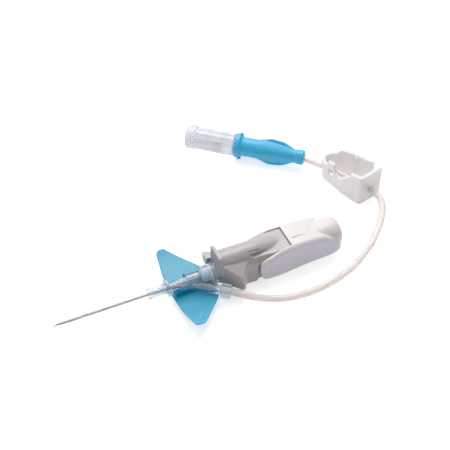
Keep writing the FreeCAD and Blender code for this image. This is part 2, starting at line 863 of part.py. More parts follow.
def pinchClamp():
    nearFace = 4.35
    outer = clampPrism([
        (-1.2, 3.8, 0.3),
        (0.95, -nearFace, 1.3),
        (7.5, -nearFace - 0.2, 30),
        (15.2, -3.3, 3.2),
        (18.0, 0.1, 2.6),
        (15.6, 3.6, 3.4),
        (10.0, 4.9, 9),
        (1.6, 5.1, 0),
        (-0.5, 4.3, 0),
    ], 0, clampWidth)
    rim = roundedLoop([
        (-1.2, 3.8, 0.3),
        (0.95, -nearFace, 1.3),
        (7.5, -nearFace - 0.2, 30),
        (15.2, -3.3, 3.2),
        (18.0, 0.1, 2.6),
        (15.6, 3.6, 3.4),
        (10.0, 4.9, 9),
        (1.6, 5.1, 0),
        (-0.5, 4.3, 0),
    ], lambda u, v: clampPlace(u, v, -1))
    hollow = Part.Face(rim).makeOffset2D(-clampWall).extrude(Vector(0, 0, clampWidth + 2))
    mouth = clampPrism([(-0.7, 4.3, 0), (0.5, 3.0, 0), (2.2, 3.0, 0), (1.7, 9.0, 0), (-0.7, 9.0, 0)],
                       -1, clampWidth + 1)
    strip = outer.cut([hollow, mouth])
    taper = Part.Face(roundedLoop([
        (-5, 0, 0),
        (2.6, 0, 6),
        (12.0, 1.9, 6),
        (19.5, 2.4, 0),
        (19.5, clampWidth - 1.9, 0),
        (14.2, clampWidth - 1.7, 0.7),
        (13.3, clampWidth, 0.7),
        (-5, clampWidth, 0),
    ], lambda u, z: clampPlace(u, -9, z))).extrude(clampAcross * 18)
    strip = strip.common(taper)
    notch = Part.Face(roundedLoop([
        (4.6, clampWidth + 1, 0),
        (5.2, clampWidth - 1.2, 0.6),
        (9.4, clampWidth - clampNotchDepth, 1.2),
        (10.9, clampWidth - 0.9, 0.8),
        (11.4, clampWidth + 1, 0),
    ], lambda u, z: clampPlace(u, -9, z))).extrude(clampAcross * 7)
    slotHalf = clampSlotLength / 2
    slotMiddle = axisHeight + 1.2
    slot = Part.Face(roundedLoop([
        (clampSlotMiddle - slotHalf, slotMiddle - clampSlotHeight / 2, slotHalf * 0.95),
        (clampSlotMiddle + slotHalf, slotMiddle - clampSlotHeight / 2, slotHalf * 0.95),
        (clampSlotMiddle + slotHalf, slotMiddle + clampSlotHeight / 2, slotHalf * 0.95),
        (clampSlotMiddle - slotHalf, slotMiddle + clampSlotHeight / 2, slotHalf * 0.95),
    ], lambda u, z: clampPlace(u, -9, z))).extrude(clampAcross * 7)
    nearRidge = clampPrism([(6.6, -3.9, 0), (7.9, -1.7, 0.5), (9.2, -3.9, 0)],
                           0.9, clampWidth - clampNotchDepth)
    farRidge = clampPrism([(7.2, 4.3, 0), (7.9, 2.0, 0.5), (8.6, 4.3, 0)], 0.9, clampWidth - 0.4)
    catch = clampPrism([(-1.0, 3.8, 0), (0.5, 4.35, 0.1), (0.2, 3.0, 0), (-0.8, 2.8, 0)],
                       0.6, clampWidth - 0.6)
    strip = strip.fuse([nearRidge, farRidge, catch])
    entry = Part.makeCylinder(clampHoleDiameter / 2, 8, clampPlace(-4, 0, lineHeight), clampDirection)
    window = clampPrism([(13.4, -2.6, 0), (20, -2.6, 0), (20, 1.3, 0), (13.4, 1.3, 0)],
                        lineHeight - 1.5, lineHeight + 1.5)
    return oneSolid(strip.cut([entry, window, notch, slot]))


# Luer hub and vent plug share one axis

hubMouth = hubRear + hubDirection * hubLength
outward = hubDirection


def alongHub(profile):
    """Turned about the hub's axis. Distances run outwards from the hub's mouth."""
    return turned(profile, hubMouth, outward)


def luerHub():
    mouth = luerMouthDiameter / 2
    bottom = mouth - luerTaper / 2 * luerDepth
    flange = hubFlangeLength
    body = alongHub([
        (0, 0),
        (0, hubFlangeDiameter / 2),
        (-flange, hubFlangeDiameter / 2),
        (-flange - 0.7, hubBodyDiameter / 2),
        (-hubBodyLength, hubBodyDiameter / 2),
        (-hubLength + hubCollarLength + 0.6, hubNeckDiameter / 2),
        (-hubLength + hubCollarLength, hubCollarDiameter / 2),
        (-hubLength + 0.3, hubCollarDiameter / 2),
        (-hubLength, hubCollarDiameter / 2 - 0.3),
        (-hubLength, 0),
    ])
    rolled = FreeCAD.Rotation(outward, hubRoll)
    up = rolled.multVec(Vector(0, 0, 1))
    aside = outward.cross(up)

    def place(t, h):
        return hubMouth + outward * t + up * h - aside * (finThickness / 2)

    fins = []
    for side in (-1, 1):
        loop = roundedLoop([
            (-7.4, side * 2.0, 0),
            (-7.6, side * 3.0, 1.2),
            (-11.0, side * finSpan, 5),
            (-15.2, side * (finSpan - 0.35), 5),
            (-18.8, side * 2.2, 1.2),
            (-18.6, side * 1.2, 0),
        ], place)
        fins.append(Part.Face(loop).extrude(aside * finThickness))
    nibs = []
    for side in (-1, 1):
        nib = Part.makeBox(1.0, 1.8, hubFlangeDiameter / 2 + 0.35, Vector(-flange - 0.5, -0.9, 0))
        turn = FreeCAD.Rotation(Vector(1, 0, 0), outward)
        spin = FreeCAD.Rotation(outward, hubRoll + (180 if side < 0 else 0))
        nib.Placement = FreeCAD.Placement(hubMouth, spin.multiply(turn))
        nibs.append(nib)
    body = body.fuse(fins + nibs)
    bore = alongHub([
        (1, 0),
        (1, mouth + luerTaper / 2),
        (-luerDepth, bottom),
        (-luerDepth, tubeBore / 2),
        (-hubLength + hubSocketDepth, tubeBore / 2),
        (-hubLength + hubSocketDepth, tubeDiameter / 2),
        (-hubLength - 1, tubeDiameter / 2),
        (-hubLength - 1, 0),
    ])
    return oneSolid(body.cut(bore))


def ventPlug():
    near = plugGap
    far = plugVisibleLength
    mouth = luerMouthDiameter / 2 - plugTaperFit
    tip = -plugTaperLength
    plug = alongHub([
        (near, plugDiameter / 2),
        (far - plugRimLength, plugDiameter / 2),
        (far - plugRimLength, plugRimDiameter / 2),
        (far, plugRimDiameter / 2),
        (far, plugBore / 2 + 0.3),
        (far - 0.5, plugBore / 2),
        (near + 4.2, plugBore / 2 - 0.1),
        (near + 4.2, 0.6),
        (tip, 0.6),
        (tip, mouth + luerTaper / 2 * tip),
        (near, mouth + luerTaper / 2 * near),
    ])
    ribs = []
    for index in range(plugRibs):
        rib = Part.makeBox(far - plugRimLength - near, 0.5, plugRibHeight + 0.3,
                           Vector(near, -0.25, plugDiameter / 2 - 0.3))
        spin = FreeCAD.Rotation(outward, 360 / plugRibs * index)
        turn = FreeCAD.Rotation(Vector(1, 0, 0), outward)
        rib.Placement = FreeCAD.Placement(hubMouth, spin.multiply(turn))
        ribs.append(rib)
    return oneSolid(plug.fuse(ribs))


def ventFilter():
    seat = plugGap + 4.2
    return alongHub([
        (seat, 0),
        (seat, plugBore / 2 - 0.15),
        (seat + filterThickness, plugBore / 2 - 0.15),
        (seat + filterThickness, 0),
    ])


parts = {
    "needle": needle,
    "needle_carrier": needleCarrier,
    "handle_shell": handleShell,
    "side_pad_near": lambda: sidePad(-1),
    "side_pad_far": lambda: sidePad(1),
    "shield_grip": shieldGrip,
    "shield_canister": shieldCanister,
    "shield_clip": shieldClip,
    "shield_retainer": shieldRetainer,
    "shield_end_cap": shieldEndCap,
    "catheter_tube": catheter,
    "catheter_wedge": catheterWedge,
    "catheter_adapter": adapter,
    "septum": septum,
    "septum_washer": septumWasher,
    "wing_platform": wingPlatform,
    "extension_tube": extensionTube,
    "pinch_clamp": pinchClamp,
    "luer_hub": luerHub,
    "vent_plug": ventPlug,
    "vent_filter": ventFilter,
}

for name, make in parts.items():
    shape = make()
    print(name, "solids", len(shape.Solids), "valid", shape.isValid(), "volume %.3f" % shape.Volume)
    shape.exportStep("parts/%s.step" % name)
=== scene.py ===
# Intravenous cannula set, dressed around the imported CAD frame.
# Lengths in the dictionaries are in millimetres and in the part's own axes:
# X runs from the needle tip to the handle, Y to the far side, Z up from the table.
# The finishes' scales are in metres.
import bpy
import bmesh
import math
from mathutils import Matrix, Vector


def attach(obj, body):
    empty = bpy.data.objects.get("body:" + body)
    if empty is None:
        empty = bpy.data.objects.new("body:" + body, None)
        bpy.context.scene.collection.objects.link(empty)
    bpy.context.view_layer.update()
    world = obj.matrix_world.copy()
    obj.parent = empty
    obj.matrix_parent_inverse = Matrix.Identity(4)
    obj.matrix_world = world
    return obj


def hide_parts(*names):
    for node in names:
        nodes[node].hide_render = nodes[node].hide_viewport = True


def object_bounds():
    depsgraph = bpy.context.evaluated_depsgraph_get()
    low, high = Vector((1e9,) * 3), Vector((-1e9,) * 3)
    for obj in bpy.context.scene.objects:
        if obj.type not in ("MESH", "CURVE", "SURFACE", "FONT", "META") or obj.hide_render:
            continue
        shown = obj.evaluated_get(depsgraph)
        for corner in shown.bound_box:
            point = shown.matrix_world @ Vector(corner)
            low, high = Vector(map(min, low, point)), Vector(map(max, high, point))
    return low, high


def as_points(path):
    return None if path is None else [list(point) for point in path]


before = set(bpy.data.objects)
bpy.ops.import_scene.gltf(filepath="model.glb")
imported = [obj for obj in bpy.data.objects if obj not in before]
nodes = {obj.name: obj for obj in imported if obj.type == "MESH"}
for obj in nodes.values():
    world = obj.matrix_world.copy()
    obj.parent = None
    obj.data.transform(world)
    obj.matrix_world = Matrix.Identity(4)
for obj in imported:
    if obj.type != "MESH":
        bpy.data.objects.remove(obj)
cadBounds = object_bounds()
mm = 0.001
axisHeight = 5.5  # of the needle above the table


# Camera: the photograph's own viewpoint

cameraView = {
    "place": (-77.03, -191.62, 233.35),
    "target": (19.55, 20.80, 0.0),
    "lens": 88.44,
    "sensor": 36.0,
}


def newObject(name, data):
    item = bpy.data.objects.new(name, data)
    bpy.context.scene.collection.objects.link(item)
    return item


def buildCamera():
    lens = bpy.data.cameras.new("camera")
    lens.lens = cameraView["lens"]
    lens.sensor_width = cameraView["sensor"]
    lens.clip_start = 0.01
    camera = newObject("camera", lens)
    place = Vector(cameraView["place"]) * mm
    camera.location = place
    aim = Vector(cameraView["target"]) * mm - place
    camera.rotation_euler = aim.to_track_quat("-Z", "Y").to_euler()
    bpy.context.scene.camera = camera


buildCamera()
print("camera set")


# Node groups that several finishes share

def newGroup(name, inputs, outputs):
    group = bpy.data.node_groups.new(name, "ShaderNodeTree")
    for label, kind, value in inputs:
        socket = group.interface.new_socket(label, in_out="INPUT", socket_type=kind)
        socket.default_value = value
    for label, kind in outputs:
        group.interface.new_socket(label, in_out="OUTPUT", socket_type=kind)
    return group, group.nodes.new("NodeGroupInput"), group.nodes.new("NodeGroupOutput")


def feed(tree, socket, value):
    if isinstance(value, bpy.types.NodeSocket):
        tree.links.new(value, socket)
    else:
        socket.default_value = value


def newNode(tree, kind):
    return tree.nodes.new("ShaderNode" + kind)


def mathNode(tree, operation, first, second):
    node = newNode(tree, "Math")
    node.operation = operation
    feed(tree, node.inputs[0], first)
    feed(tree, node.inputs[1], second)
    return node.outputs[0]


def noiseNode(tree, vector, scale, detail=2.0, roughness=0.5):
    node = newNode(tree, "TexNoise")
    node.inputs["Detail"].default_value = detail
    node.inputs["Roughness"].default_value = roughness
    feed(tree, node.inputs["Vector"], vector)
    feed(tree, node.inputs["Scale"], scale)
    return node.outputs["Fac"]


def rangeNode(tree, value, fromMin, fromMax, toMin=0.0, toMax=1.0):
    node = newNode(tree, "MapRange")
    labels = ("Value", "From Min", "From Max", "To Min", "To Max")
    for label, item in zip(labels, (value, fromMin, fromMax, toMin, toMax)):
        feed(tree, node.inputs[label], item)
    return node.outputs["Result"]


def colorMix(tree, share, first, second):
    node = newNode(tree, "Mix")
    node.data_type = "RGBA"
    feed(tree, node.inputs[0], share)
    feed(tree, node.inputs[6], first)
    feed(tree, node.inputs[7], second)
    return node.outputs[2]


def objectPlace(tree):
    return newNode(tree, "TexCoord").outputs["Object"]


def makeMouldAndHighlightGroup():
    # fine grain from the mould, slow flow marks, and a painted highlight that lightens convex
    # edges
    group, source, result = newGroup(
        "mouldSurfaceAndEdgeHighlight",
        [("Color", "NodeSocketColor", (0.8, 0.8, 0.8, 1)),
         ("Grain Scale", "NodeSocketFloat", 2600.0),
         ("Flow Scale", "NodeSocketFloat", 160.0),
         ("Flow", "NodeSocketFloat", 0.1),
         ("Gloss", "NodeSocketFloat", 0.4),
         ("Edge Highlight", "NodeSocketFloat", 0.1)],
        [("Color", "NodeSocketColor"), ("Roughness", "NodeSocketFloat"),
         ("Height", "NodeSocketFloat")])
    place = objectPlace(group)
    grain = noiseNode(group, place, source.outputs["Grain Scale"], 3.0, 0.6)
    flow = noiseNode(group, place, source.outputs["Flow Scale"])
    drift = mathNode(group, "MULTIPLY", mathNode(group, "SUBTRACT", flow, 0.5),
                     source.outputs["Flow"])
    pointiness = newNode(group, "NewGeometry").outputs["Pointiness"]
    # painted highlight: convex edges, found by pointiness, are made lighter
    edge = mathNode(group, "MULTIPLY", rangeNode(group, pointiness, 0.5, 0.6),
                    source.outputs["Edge Highlight"])
    tone = newNode(group, "HueSaturation")
    feed(group, tone.inputs["Color"], source.outputs["Color"])
    feed(group, tone.inputs["Value"],
         mathNode(group, "ADD", mathNode(group, "ADD", drift, edge), 1.0))
    feed(group, result.inputs["Color"], tone.outputs["Color"])
    spread = mathNode(group, "MULTIPLY", mathNode(group, "SUBTRACT", grain, 0.5), 0.2)
    gloss = mathNode(group, "ADD", source.outputs["Gloss"], spread)
    feed(group, result.inputs["Roughness"], mathNode(group, "ADD", gloss, drift))
    feed(group, result.inputs["Height"], grain)
    return group


def makeDotGroup():
    # raised round dots in a staggered field, each a soft dome
    group, source, result = newGroup(
        "gripDots",
        [("Dot Scale", "NodeSocketFloat", 900.0), ("Dot Size", "NodeSocketFloat", 0.3)],
        [("Height", "NodeSocketFloat")])
    cells = newNode(group, "TexVoronoi")
    cells.inputs["Randomness"].default_value = 0.15
    feed(group, cells.inputs["Vector"], objectPlace(group))
    feed(group, cells.inputs["Scale"], source.outputs["Dot Scale"])
    near = mathNode(group, "DIVIDE", cells.outputs["Distance"], source.outputs["Dot Size"])
    feed(group, result.inputs["Height"], rangeNode(group, near, 1.0, 0.0))
    return group


def makeDrawnGroup():
    # drawn and ground metal: long scratches, patchy polish and dull spots
    group, source, result = newGroup(
        "drawnMetal",
        [("Color", "NodeSocketColor", (0.6, 0.6, 0.6, 1)),
         ("Dark Color", "NodeSocketColor", (0.3, 0.28, 0.27, 1)),
         ("Gloss", "NodeSocketFloat", 0.3),
         ("Spots", "NodeSocketFloat", 0.5)],
        [("Color", "NodeSocketColor"), ("Roughness", "NodeSocketFloat"),
         ("Height", "NodeSocketFloat")])
    stretch = newNode(group, "Mapping")
    stretch.inputs["Scale"].default_value = (0.06, 1.0, 1.0)
    feed(group, stretch.inputs["Vector"], objectPlace(group))
    scratch = noiseNode(group, stretch.outputs["Vector"], 9000.0, 3.0, 0.7)
    patch = noiseNode(group, objectPlace(group), 330.0, 2.0)
    spot = mathNode(group, "MULTIPLY", rangeNode(group, patch, 0.56, 0.66),
                    source.outputs["Spots"])
    feed(group, result.inputs["Color"], colorMix(group, spot, source.outputs["Color"],
                                                 source.outputs["Dark Color"]))
    uneven = mathNode(group, "MULTIPLY", mathNode(group, "SUBTRACT", scratch, 0.5), 0.3)
    gloss = mathNode(group, "ADD", source.outputs["Gloss"], uneven)
    feed(group, result.inputs["Roughness"],
         mathNode(group, "ADD", gloss, mathNode(group, "MULTIPLY", spot, 0.15)))
    feed(group, result.inputs["Height"], scratch)
    return group


mouldAndHighlightGroup = makeMouldAndHighlightGroup()
dotGroup = makeDotGroup()
drawnGroup = makeDrawnGroup()


def paint(tree, shader, surface):
    for label, output in (("Base Color", "Color"), ("Roughness", "Roughness")):
        feed(tree, shader.inputs[label], surface.outputs[output])


def placeGroup(tree, group, values):
    node = newNode(tree, "Group")
    node.node_tree = group
    for label, value in values.items():
        feed(tree, node.inputs[label], value)
    return node


def startMaterial(name, look):
    material = bpy.data.materials.new(name)
    material.use_nodes = True
    tree = material.node_tree
    shader = tree.nodes["Principled BSDF"]
    for label in ("IOR", "Transmission Weight", "Subsurface Weight", "Subsurface Scale",
                  "Subsurface Radius", "Coat Weight", "Coat Roughness", "Metallic"):
        if label in look:
            shader.inputs[label].default_value = look[label]
    return material, tree, shader


def bumpFrom(tree, shader, height, depth):
    bump = newNode(tree, "Bump")
    bump.inputs["Strength"].default_value = 1.0
    bump.inputs["Distance"].default_value = depth * mm
    feed(tree, bump.inputs["Height"], height)
    feed(tree, shader.inputs["Normal"], bump.outputs["Normal"])


def mouldedMaterial(name, look):
    material, tree, shader = startMaterial(name, look)
    color = look["color"] + (1,)
    if "root" in look:
        # painted shade and light: the colour deepens towards the middle, where the adapter shades
        # the wings, and pales towards the thin tips, where light shows through
        away = newNode(tree, "SeparateXYZ")
        feed(tree, away.inputs[0], objectPlace(tree))
        out = mathNode(tree, "ABSOLUTE", away.outputs["Y"], 0.0)
        color = colorMix(tree, rangeNode(tree, out, 0.003, 0.012), look["root"] + (1,), color)
    # the group's Edge Highlight paints a highlight along convex edges, as strong as the finish's
    # edge value
    surface = placeGroup(tree, mouldAndHighlightGroup, {
        "Color": color, "Grain Scale": look.get("grainScale", 2600.0),
        "Flow": look.get("flow", 0.08), "Flow Scale": look.get("flowScale", 160.0),
        "Gloss": look["gloss"], "Edge Highlight": look.get("edge", 0.1)})
    paint(tree, shader, surface)
    height = surface.outputs["Height"]
    if "dots" in look:
        dots = placeGroup(tree, dotGroup, {"Dot Scale": look["dots"]["scale"],
                                           "Dot Size": look["dots"]["size"]})
        height = mathNode(tree, "ADD", mathNode(tree, "MULTIPLY", height, look["dots"]["grain"]),
                          dots.outputs["Height"])
    bumpFrom(tree, shader, height, look.get("depth", 0.006))
    if look.get("clear"):
        letLightThrough(tree, shader, look["clear"])
    if "inside" in look:
        # the tint deepens with the length of plastic that is looked through
        body = newNode(tree, "VolumeAbsorption")
        body.inputs["Color"].default_value = look["inside"] + (1,)
        body.inputs["Density"].default_value = look["density"]
        feed(tree, tree.nodes["Material Output"].inputs["Volume"], body.outputs[0])
    return material


def metalMaterial(name, look):
    material, tree, shader = startMaterial(name, look)
    surface = placeGroup(tree, drawnGroup, {
        "Color": look["color"] + (1,), "Dark Color": look["dark"] + (1,),
        "Gloss": look["gloss"], "Spots": look["spots"]})
    paint(tree, shader, surface)
    bumpFrom(tree, shader, surface.outputs["Height"], look.get("depth", 0.003))
    return material


def letLightThrough(tree, shader, tint):
    # lamps shine through clear plastic, so its shadow stays pale
    letThrough = newNode(tree, "BsdfTransparent")
    letThrough.inputs["Color"].default_value = tint + (1,)
    mix = newNode(tree, "MixShader")
    rays = newNode(tree, "LightPath")
    feed(tree, mix.inputs[0], rays.outputs["Is Shadow Ray"])
    feed(tree, mix.inputs[1], shader.outputs[0])
    feed(tree, mix.inputs[2], letThrough.outputs[0])
    feed(tree, tree.nodes["Material Output"].inputs["Surface"], mix.outputs[0])


# in each finish, edge is the strength of the painted highlight on convex edges
finishes = {
    "handle_white": {"color": (0.86, 0.81, 0.80), "gloss": 0.36, "edge": 0.05,
        "Subsurface Weight": 0.1, "Subsurface Scale": 0.0006,
        "Subsurface Radius": (1.0, 0.9, 0.9)},
    "pad_lavender": {"color": (0.84, 0.82, 0.93), "gloss": 0.55, "edge": 0.05, "depth": 0.03,
        "dots": {"scale": 1300.0, "size": 0.32, "grain": 0.15}},
    "shield_grey": {"color": (0.46, 0.43, 0.445), "gloss": 0.36, "edge": 0.22,
        "Coat Weight": 0.5, "Coat Roughness": 0.3},
    "inner_white": {"color": (0.8, 0.8, 0.8), "gloss": 0.45},
    # root is the deeper colour painted at the wings' middle as the adapter's shade
    "wing_blue": {"color": (0.075, 0.43, 0.64), "root": (0.01, 0.33, 0.50), "gloss": 0.3,
        "flow": 0.14, "flowScale": 110.0, "edge": 0.1,
        "Subsurface Weight": 0.3, "Subsurface Scale": 0.0008,
        "Subsurface Radius": (0.3, 0.8, 1.0)},
    "hub_blue": {"color": (0.06, 0.53, 0.84), "gloss": 0.33, "edge": 0.12,
        "Subsurface Weight": 0.25, "Subsurface Scale": 0.0008,
        "Subsurface Radius": (0.3, 0.8, 1.0)},
    "clamp_white": {"color": (0.96, 0.905, 0.90), "gloss": 0.3, "edge": 0.03,
        "Subsurface Weight": 0.85, "Subsurface Scale": 0.0025,
        "Subsurface Radius": (1.0, 0.96, 0.96)},
    "septum_rubber": {"color": (0.36, 0.47, 0.56), "gloss": 0.6},
    "filter_white": {"color": (0.88, 0.88, 0.88), "gloss": 0.8, "depth": 0.03,
        "grainScale": 6000.0},
    "adapter_clear": {"color": (0.91, 0.94, 0.96), "inside": (0.2, 0.4, 0.55),
        "density": 260.0, "gloss": 0.05, "flow": 0.03, "edge": 0.0,
        "IOR": 1.4, "Transmission Weight": 0.9, "depth": 0.001,
        "clear": (0.93, 0.95, 0.97)},
    "hub_clear": {"color": (0.94, 0.95, 0.96), "gloss": 0.08, "flow": 0.03, "edge": 0.0,
        "IOR": 1.49, "Transmission Weight": 0.9, "depth": 0.001,
        "clear": (0.9, 0.92, 0.93)},
    "catheter_clear": {"color": (0.85, 0.82, 0.8), "gloss": 0.2, "flow": 0.03, "edge": 0.0,
        "IOR": 1.4, "Transmission Weight": 0.8, "depth": 0.001,
        "clear": (0.85, 0.82, 0.8)},
    "tube_clear": {"color": (0.93, 0.87, 0.855), "gloss": 0.1, "flow": 0.02, "edge": 0.0,
        "IOR": 1.42, "Transmission Weight": 0.55, "depth": 0.001,
        "clear": (0.93, 0.9, 0.89)},
    "plug_frosted": {"color": (0.87, 0.875, 0.91), "gloss": 0.3, "flow": 0.05, "edge": 0.0,
        "IOR": 1.4, "Transmission Weight": 0.45, "depth": 0.004,
        "clear": (0.85, 0.86, 0.9)},
}
metals = {
    "needle_steel": {"color": (0.36, 0.31, 0.29), "dark": (0.12, 0.09, 0.08), "gloss": 0.28,
        "spots": 0.8, "Metallic": 1.0},
    "spring_steel": {"color": (0.55, 0.55, 0.56), "dark": (0.3, 0.3, 0.3), "gloss": 0.25,
        "spots": 0.3, "Metallic": 1.0},
    "wedge_steel": {"color": (0.5, 0.45, 0.42), "dark": (0.25, 0.2, 0.18), "gloss": 0.22,
        "spots": 0.4, "Metallic": 1.0},
}
materials = {name: mouldedMaterial(name, look) for name, look in finishes.items()}
materials.update({name: metalMaterial(name, look) for name, look in metals.items()})
print("finishes made")


# Shape tools. Pieces are worked in millimetres and turned into metres at the end.

def roundedOutline(corners, step=12.0):
    # corners are (a, b, radius); the outline goes round each by its radius
    points = []
    count = len(corners)
    for index, (a, b, radius) in enumerate(corners):
        here = Vector((a, b))
        if radius == 0:
            points.append(here)
            continue
        before = (Vector(corners[index - 1][:2]) - here).normalized()
        after = (Vector(corners[(index + 1) % count][:2]) - here).normalized()
        half = before.angle(after) / 2
        centre = here + (before + after).normalized() * (radius / math.sin(half))
        first = here + before * (radius / math.tan(half)) - centre
        last = here + after * (radius / math.tan(half)) - centre
        turn = first.angle(last)
        pieces = max(2, math.ceil(math.degrees(turn) / step))
        for k in range(pieces + 1):
            share = k / pieces
            spoke = first * math.sin((1 - share) * turn) + last * math.sin(share * turn)
            points.append(centre + spoke / math.sin(turn))
    return [(p.x, p.y) for p in points]


def workObject(points, faces):
    mesh = bpy.data.meshes.new("work")
    mesh.from_pydata([tuple(p) for p in points], [], faces)
    body = bmesh.new()
    body.from_mesh(mesh)
    bmesh.ops.remove_doubles(body, verts=body.verts, dist=1e-5)
    bmesh.ops.dissolve_degenerate(body, edges=body.edges, dist=1e-5)
    bmesh.ops.recalc_face_normals(body, faces=body.faces)
    body.to_mesh(mesh)
    body.free()
    return newObject("work", mesh)


def quads(here, there, count):
    # the faces between two rings of points
    return [[here + k, here + (k + 1) % count, there + (k + 1) % count, there + k]
            for k in range(count)]


def inPlan(a, b, c):
    return Vector((a, b, c))


def fromSide(a, b, c):
    return Vector((a, c, b))


def fromEnd(a, b, c):
    return Vector((c, a, b))


def prism(corners, low, high, place=inPlan, step=12.0):
    outline = roundedOutline(corners, step)
    count = len(outline)
    points = [place(a, b, low) for a, b in outline] + [place(a, b, high) for a, b in outline]
    faces = [list(range(count)), list(range(2 * count - 1, count - 1, -1))]
    return workObject(points, faces + quads(0, count, count))


def turned(profile, start=(0, 0, axisHeight), direction=(1, 0, 0), steps=72, lift=None):
    # profile is a closed loop of (distance, radius, corner radius) turned about the axis
    axis = Vector(direction).normalized()
    up = (Vector((0, 0, 1)) - axis * axis.z).normalized()
    side = axis.cross(up)
    origin = Vector(start)
    outline = roundedOutline(profile)
    count = len(outline)
    points = []
    for k in range(steps):
        angle = 2 * math.pi * k / steps
        spoke = up * math.cos(angle) + side * math.sin(angle)
        for distance, radius in outline:
            extra = lift(distance, radius, angle) if lift else 0
            points.append(origin + axis * distance + spoke * (radius + extra))
    faces = []
    for k in range(steps):
        faces += quads(k * count, (k + 1) % steps * count, count)
    return workObject(points, faces)


def rod(x0, x1, diameter):
    radius = diameter / 2
    return turned([(x0, 0, 0), (x0, radius, 0), (x1, radius, 0), (x1, 0, 0)], steps=48)


def block(front, rear, half, low, high):
    return prism([(front, -half, 0), (rear, -half, 0), (rear, half, 0), (front, half, 0)],
                 low, high)


def lofted(rings):
    # rings all have the same number of points; the two ends are closed
    count = len(rings[0])
    points = [point for ring in rings for point in ring]
    faces = [list(range(count - 1, -1, -1)),
             list(range((len(rings) - 1) * count, len(rings) * count))]
    for row in range(len(rings) - 1):
        faces += quads(row * count, (row + 1) * count, count)
    return workObject(points, faces)


def applied(piece):
    depsgraph = bpy.context.evaluated_depsgraph_get()
    mesh = bpy.data.meshes.new_from_object(piece.evaluated_get(depsgraph))
    piece.modifiers.clear()
    piece.data = mesh
    return piece


def combined(base, tools, operation="DIFFERENCE"):
    for tool in tools:
        change = base.modifiers.new("change", "BOOLEAN")
        change.operation = operation
        change.solver = "MANIFOLD"
        change.object = tool
    applied(base)
    for tool in tools:
        bpy.data.objects.remove(tool)
    return base


def moulded(base, voxel=0.12, passes=4, keep=0.3, softSpots=None, softPasses=20):
    # remeshed evenly and smoothed, so every edge gets a moulding's small radius
    even = base.modifiers.new("even", "REMESH")
    even.mode = "VOXEL"
    even.voxel_size = voxel
    soft = base.modifiers.new("soft", "SMOOTH")
    soft.factor = 0.5
    soft.iterations = passes
    applied(base)
    if softSpots:
        # places that the real part blends more widely
        group = base.vertex_groups.new(name="softSpots")
        for vertex in base.data.vertices:
            weight = softSpots(vertex.co)
            if weight > 0:
                group.add([vertex.index], weight, "REPLACE")
        blend = base.modifiers.new("blend", "SMOOTH")
        blend.factor = 0.5
        blend.iterations = softPasses
        blend.vertex_group = "softSpots"
        applied(base)
        base.vertex_groups.clear()
    thin = base.modifiers.new("thin", "DECIMATE")
    thin.ratio = keep
    return applied(base)


def finished(piece, name, body, finish, replaced=(), angle=180.0):
    piece.data.transform(Matrix.Scale(mm, 4))
    piece.name = name
    piece.data.name = name
    for polygon in piece.data.polygons:
        polygon.use_smooth = True
    if angle < 180:
        piece.data.set_sharp_from_angle(angle=math.radians(angle))
    piece.data.materials.clear()
    piece.data.materials.append(materials[finish])
    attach(piece, body)
    if replaced:
        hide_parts(*replaced)
    print("made", name, len(piece.data.polygons), "faces")
    return piece


def eased(rows, at):
    # a smooth curve through rows of numbers, each row keyed by its first number
    for index in range(len(rows) - 1):
        if at <= rows[index + 1][0]:
            break
    first, second = rows[index], rows[index + 1]
    before = rows[max(index - 1, 0)]
    after = rows[min(index + 2, len(rows) - 1)]
    span = second[0] - first[0]
    t = min(max((at - first[0]) / span, 0), 1)
    values = []
    for k in range(1, len(first)):
        slopeIn = (second[k] - before[k]) / (second[0] - before[0]) * span
        slopeOut = (after[k] - first[k]) / (after[0] - first[0]) * span
        values.append((2 * t ** 3 - 3 * t ** 2 + 1) * first[k]
                      + (t ** 3 - 2 * t ** 2 + t) * slopeIn
                      + (3 * t ** 2 - 2 * t ** 3) * second[k] + (t ** 3 - t ** 2) * slopeOut)
    return values


# Extension tube: one hollow tube along the route of the CAD's tube

tubeShape = {
    "outer": 1.05,
    "inner": 0.6,
    "sides": 20,
    "route": [
        (6.509, -5.648, 3.991), (10.724, -8.677, 3.664), (15.4, -11.3, 2.3),
        (20.3, -12.9, 1.25), (26, -14.2, 1.12), (32.2, -14.3, 1.12),
        (38.6, -13.2, 1.12), (44.9, -11.1, 1.12), (51, -7.7, 1.2),
        (56.7, -3.6, 1.6), (61.5, 1.2, 2.3), (64.6, 5.4, 3.2),
        (65.804, 11.009, 4.1), (53.856, 32.741, 4.1), (49.232, 36.719, 4.1),
    ],
}


def tubeLine():
    curve = bpy.data.curves.new("tubeLine", "CURVE")
    curve.dimensions = "3D"
    curve.resolution_u = 16
    spline = curve.splines.new("NURBS")
    spline.points.add(len(tubeShape["route"]) - 1)
    for point, place in zip(spline.points, tubeShape["route"]):
        point.co = (*(Vector(place) * mm), 1)
    spline.order_u = 3
    spline.use_endpoint_u = True
    holder = bpy.data.objects.new("tubeLine", curve)
    mesh = bpy.data.meshes.new_from_object(holder)
    line = [vertex.co.copy() for vertex in mesh.vertices]
    bpy.data.objects.remove(holder)
    return line


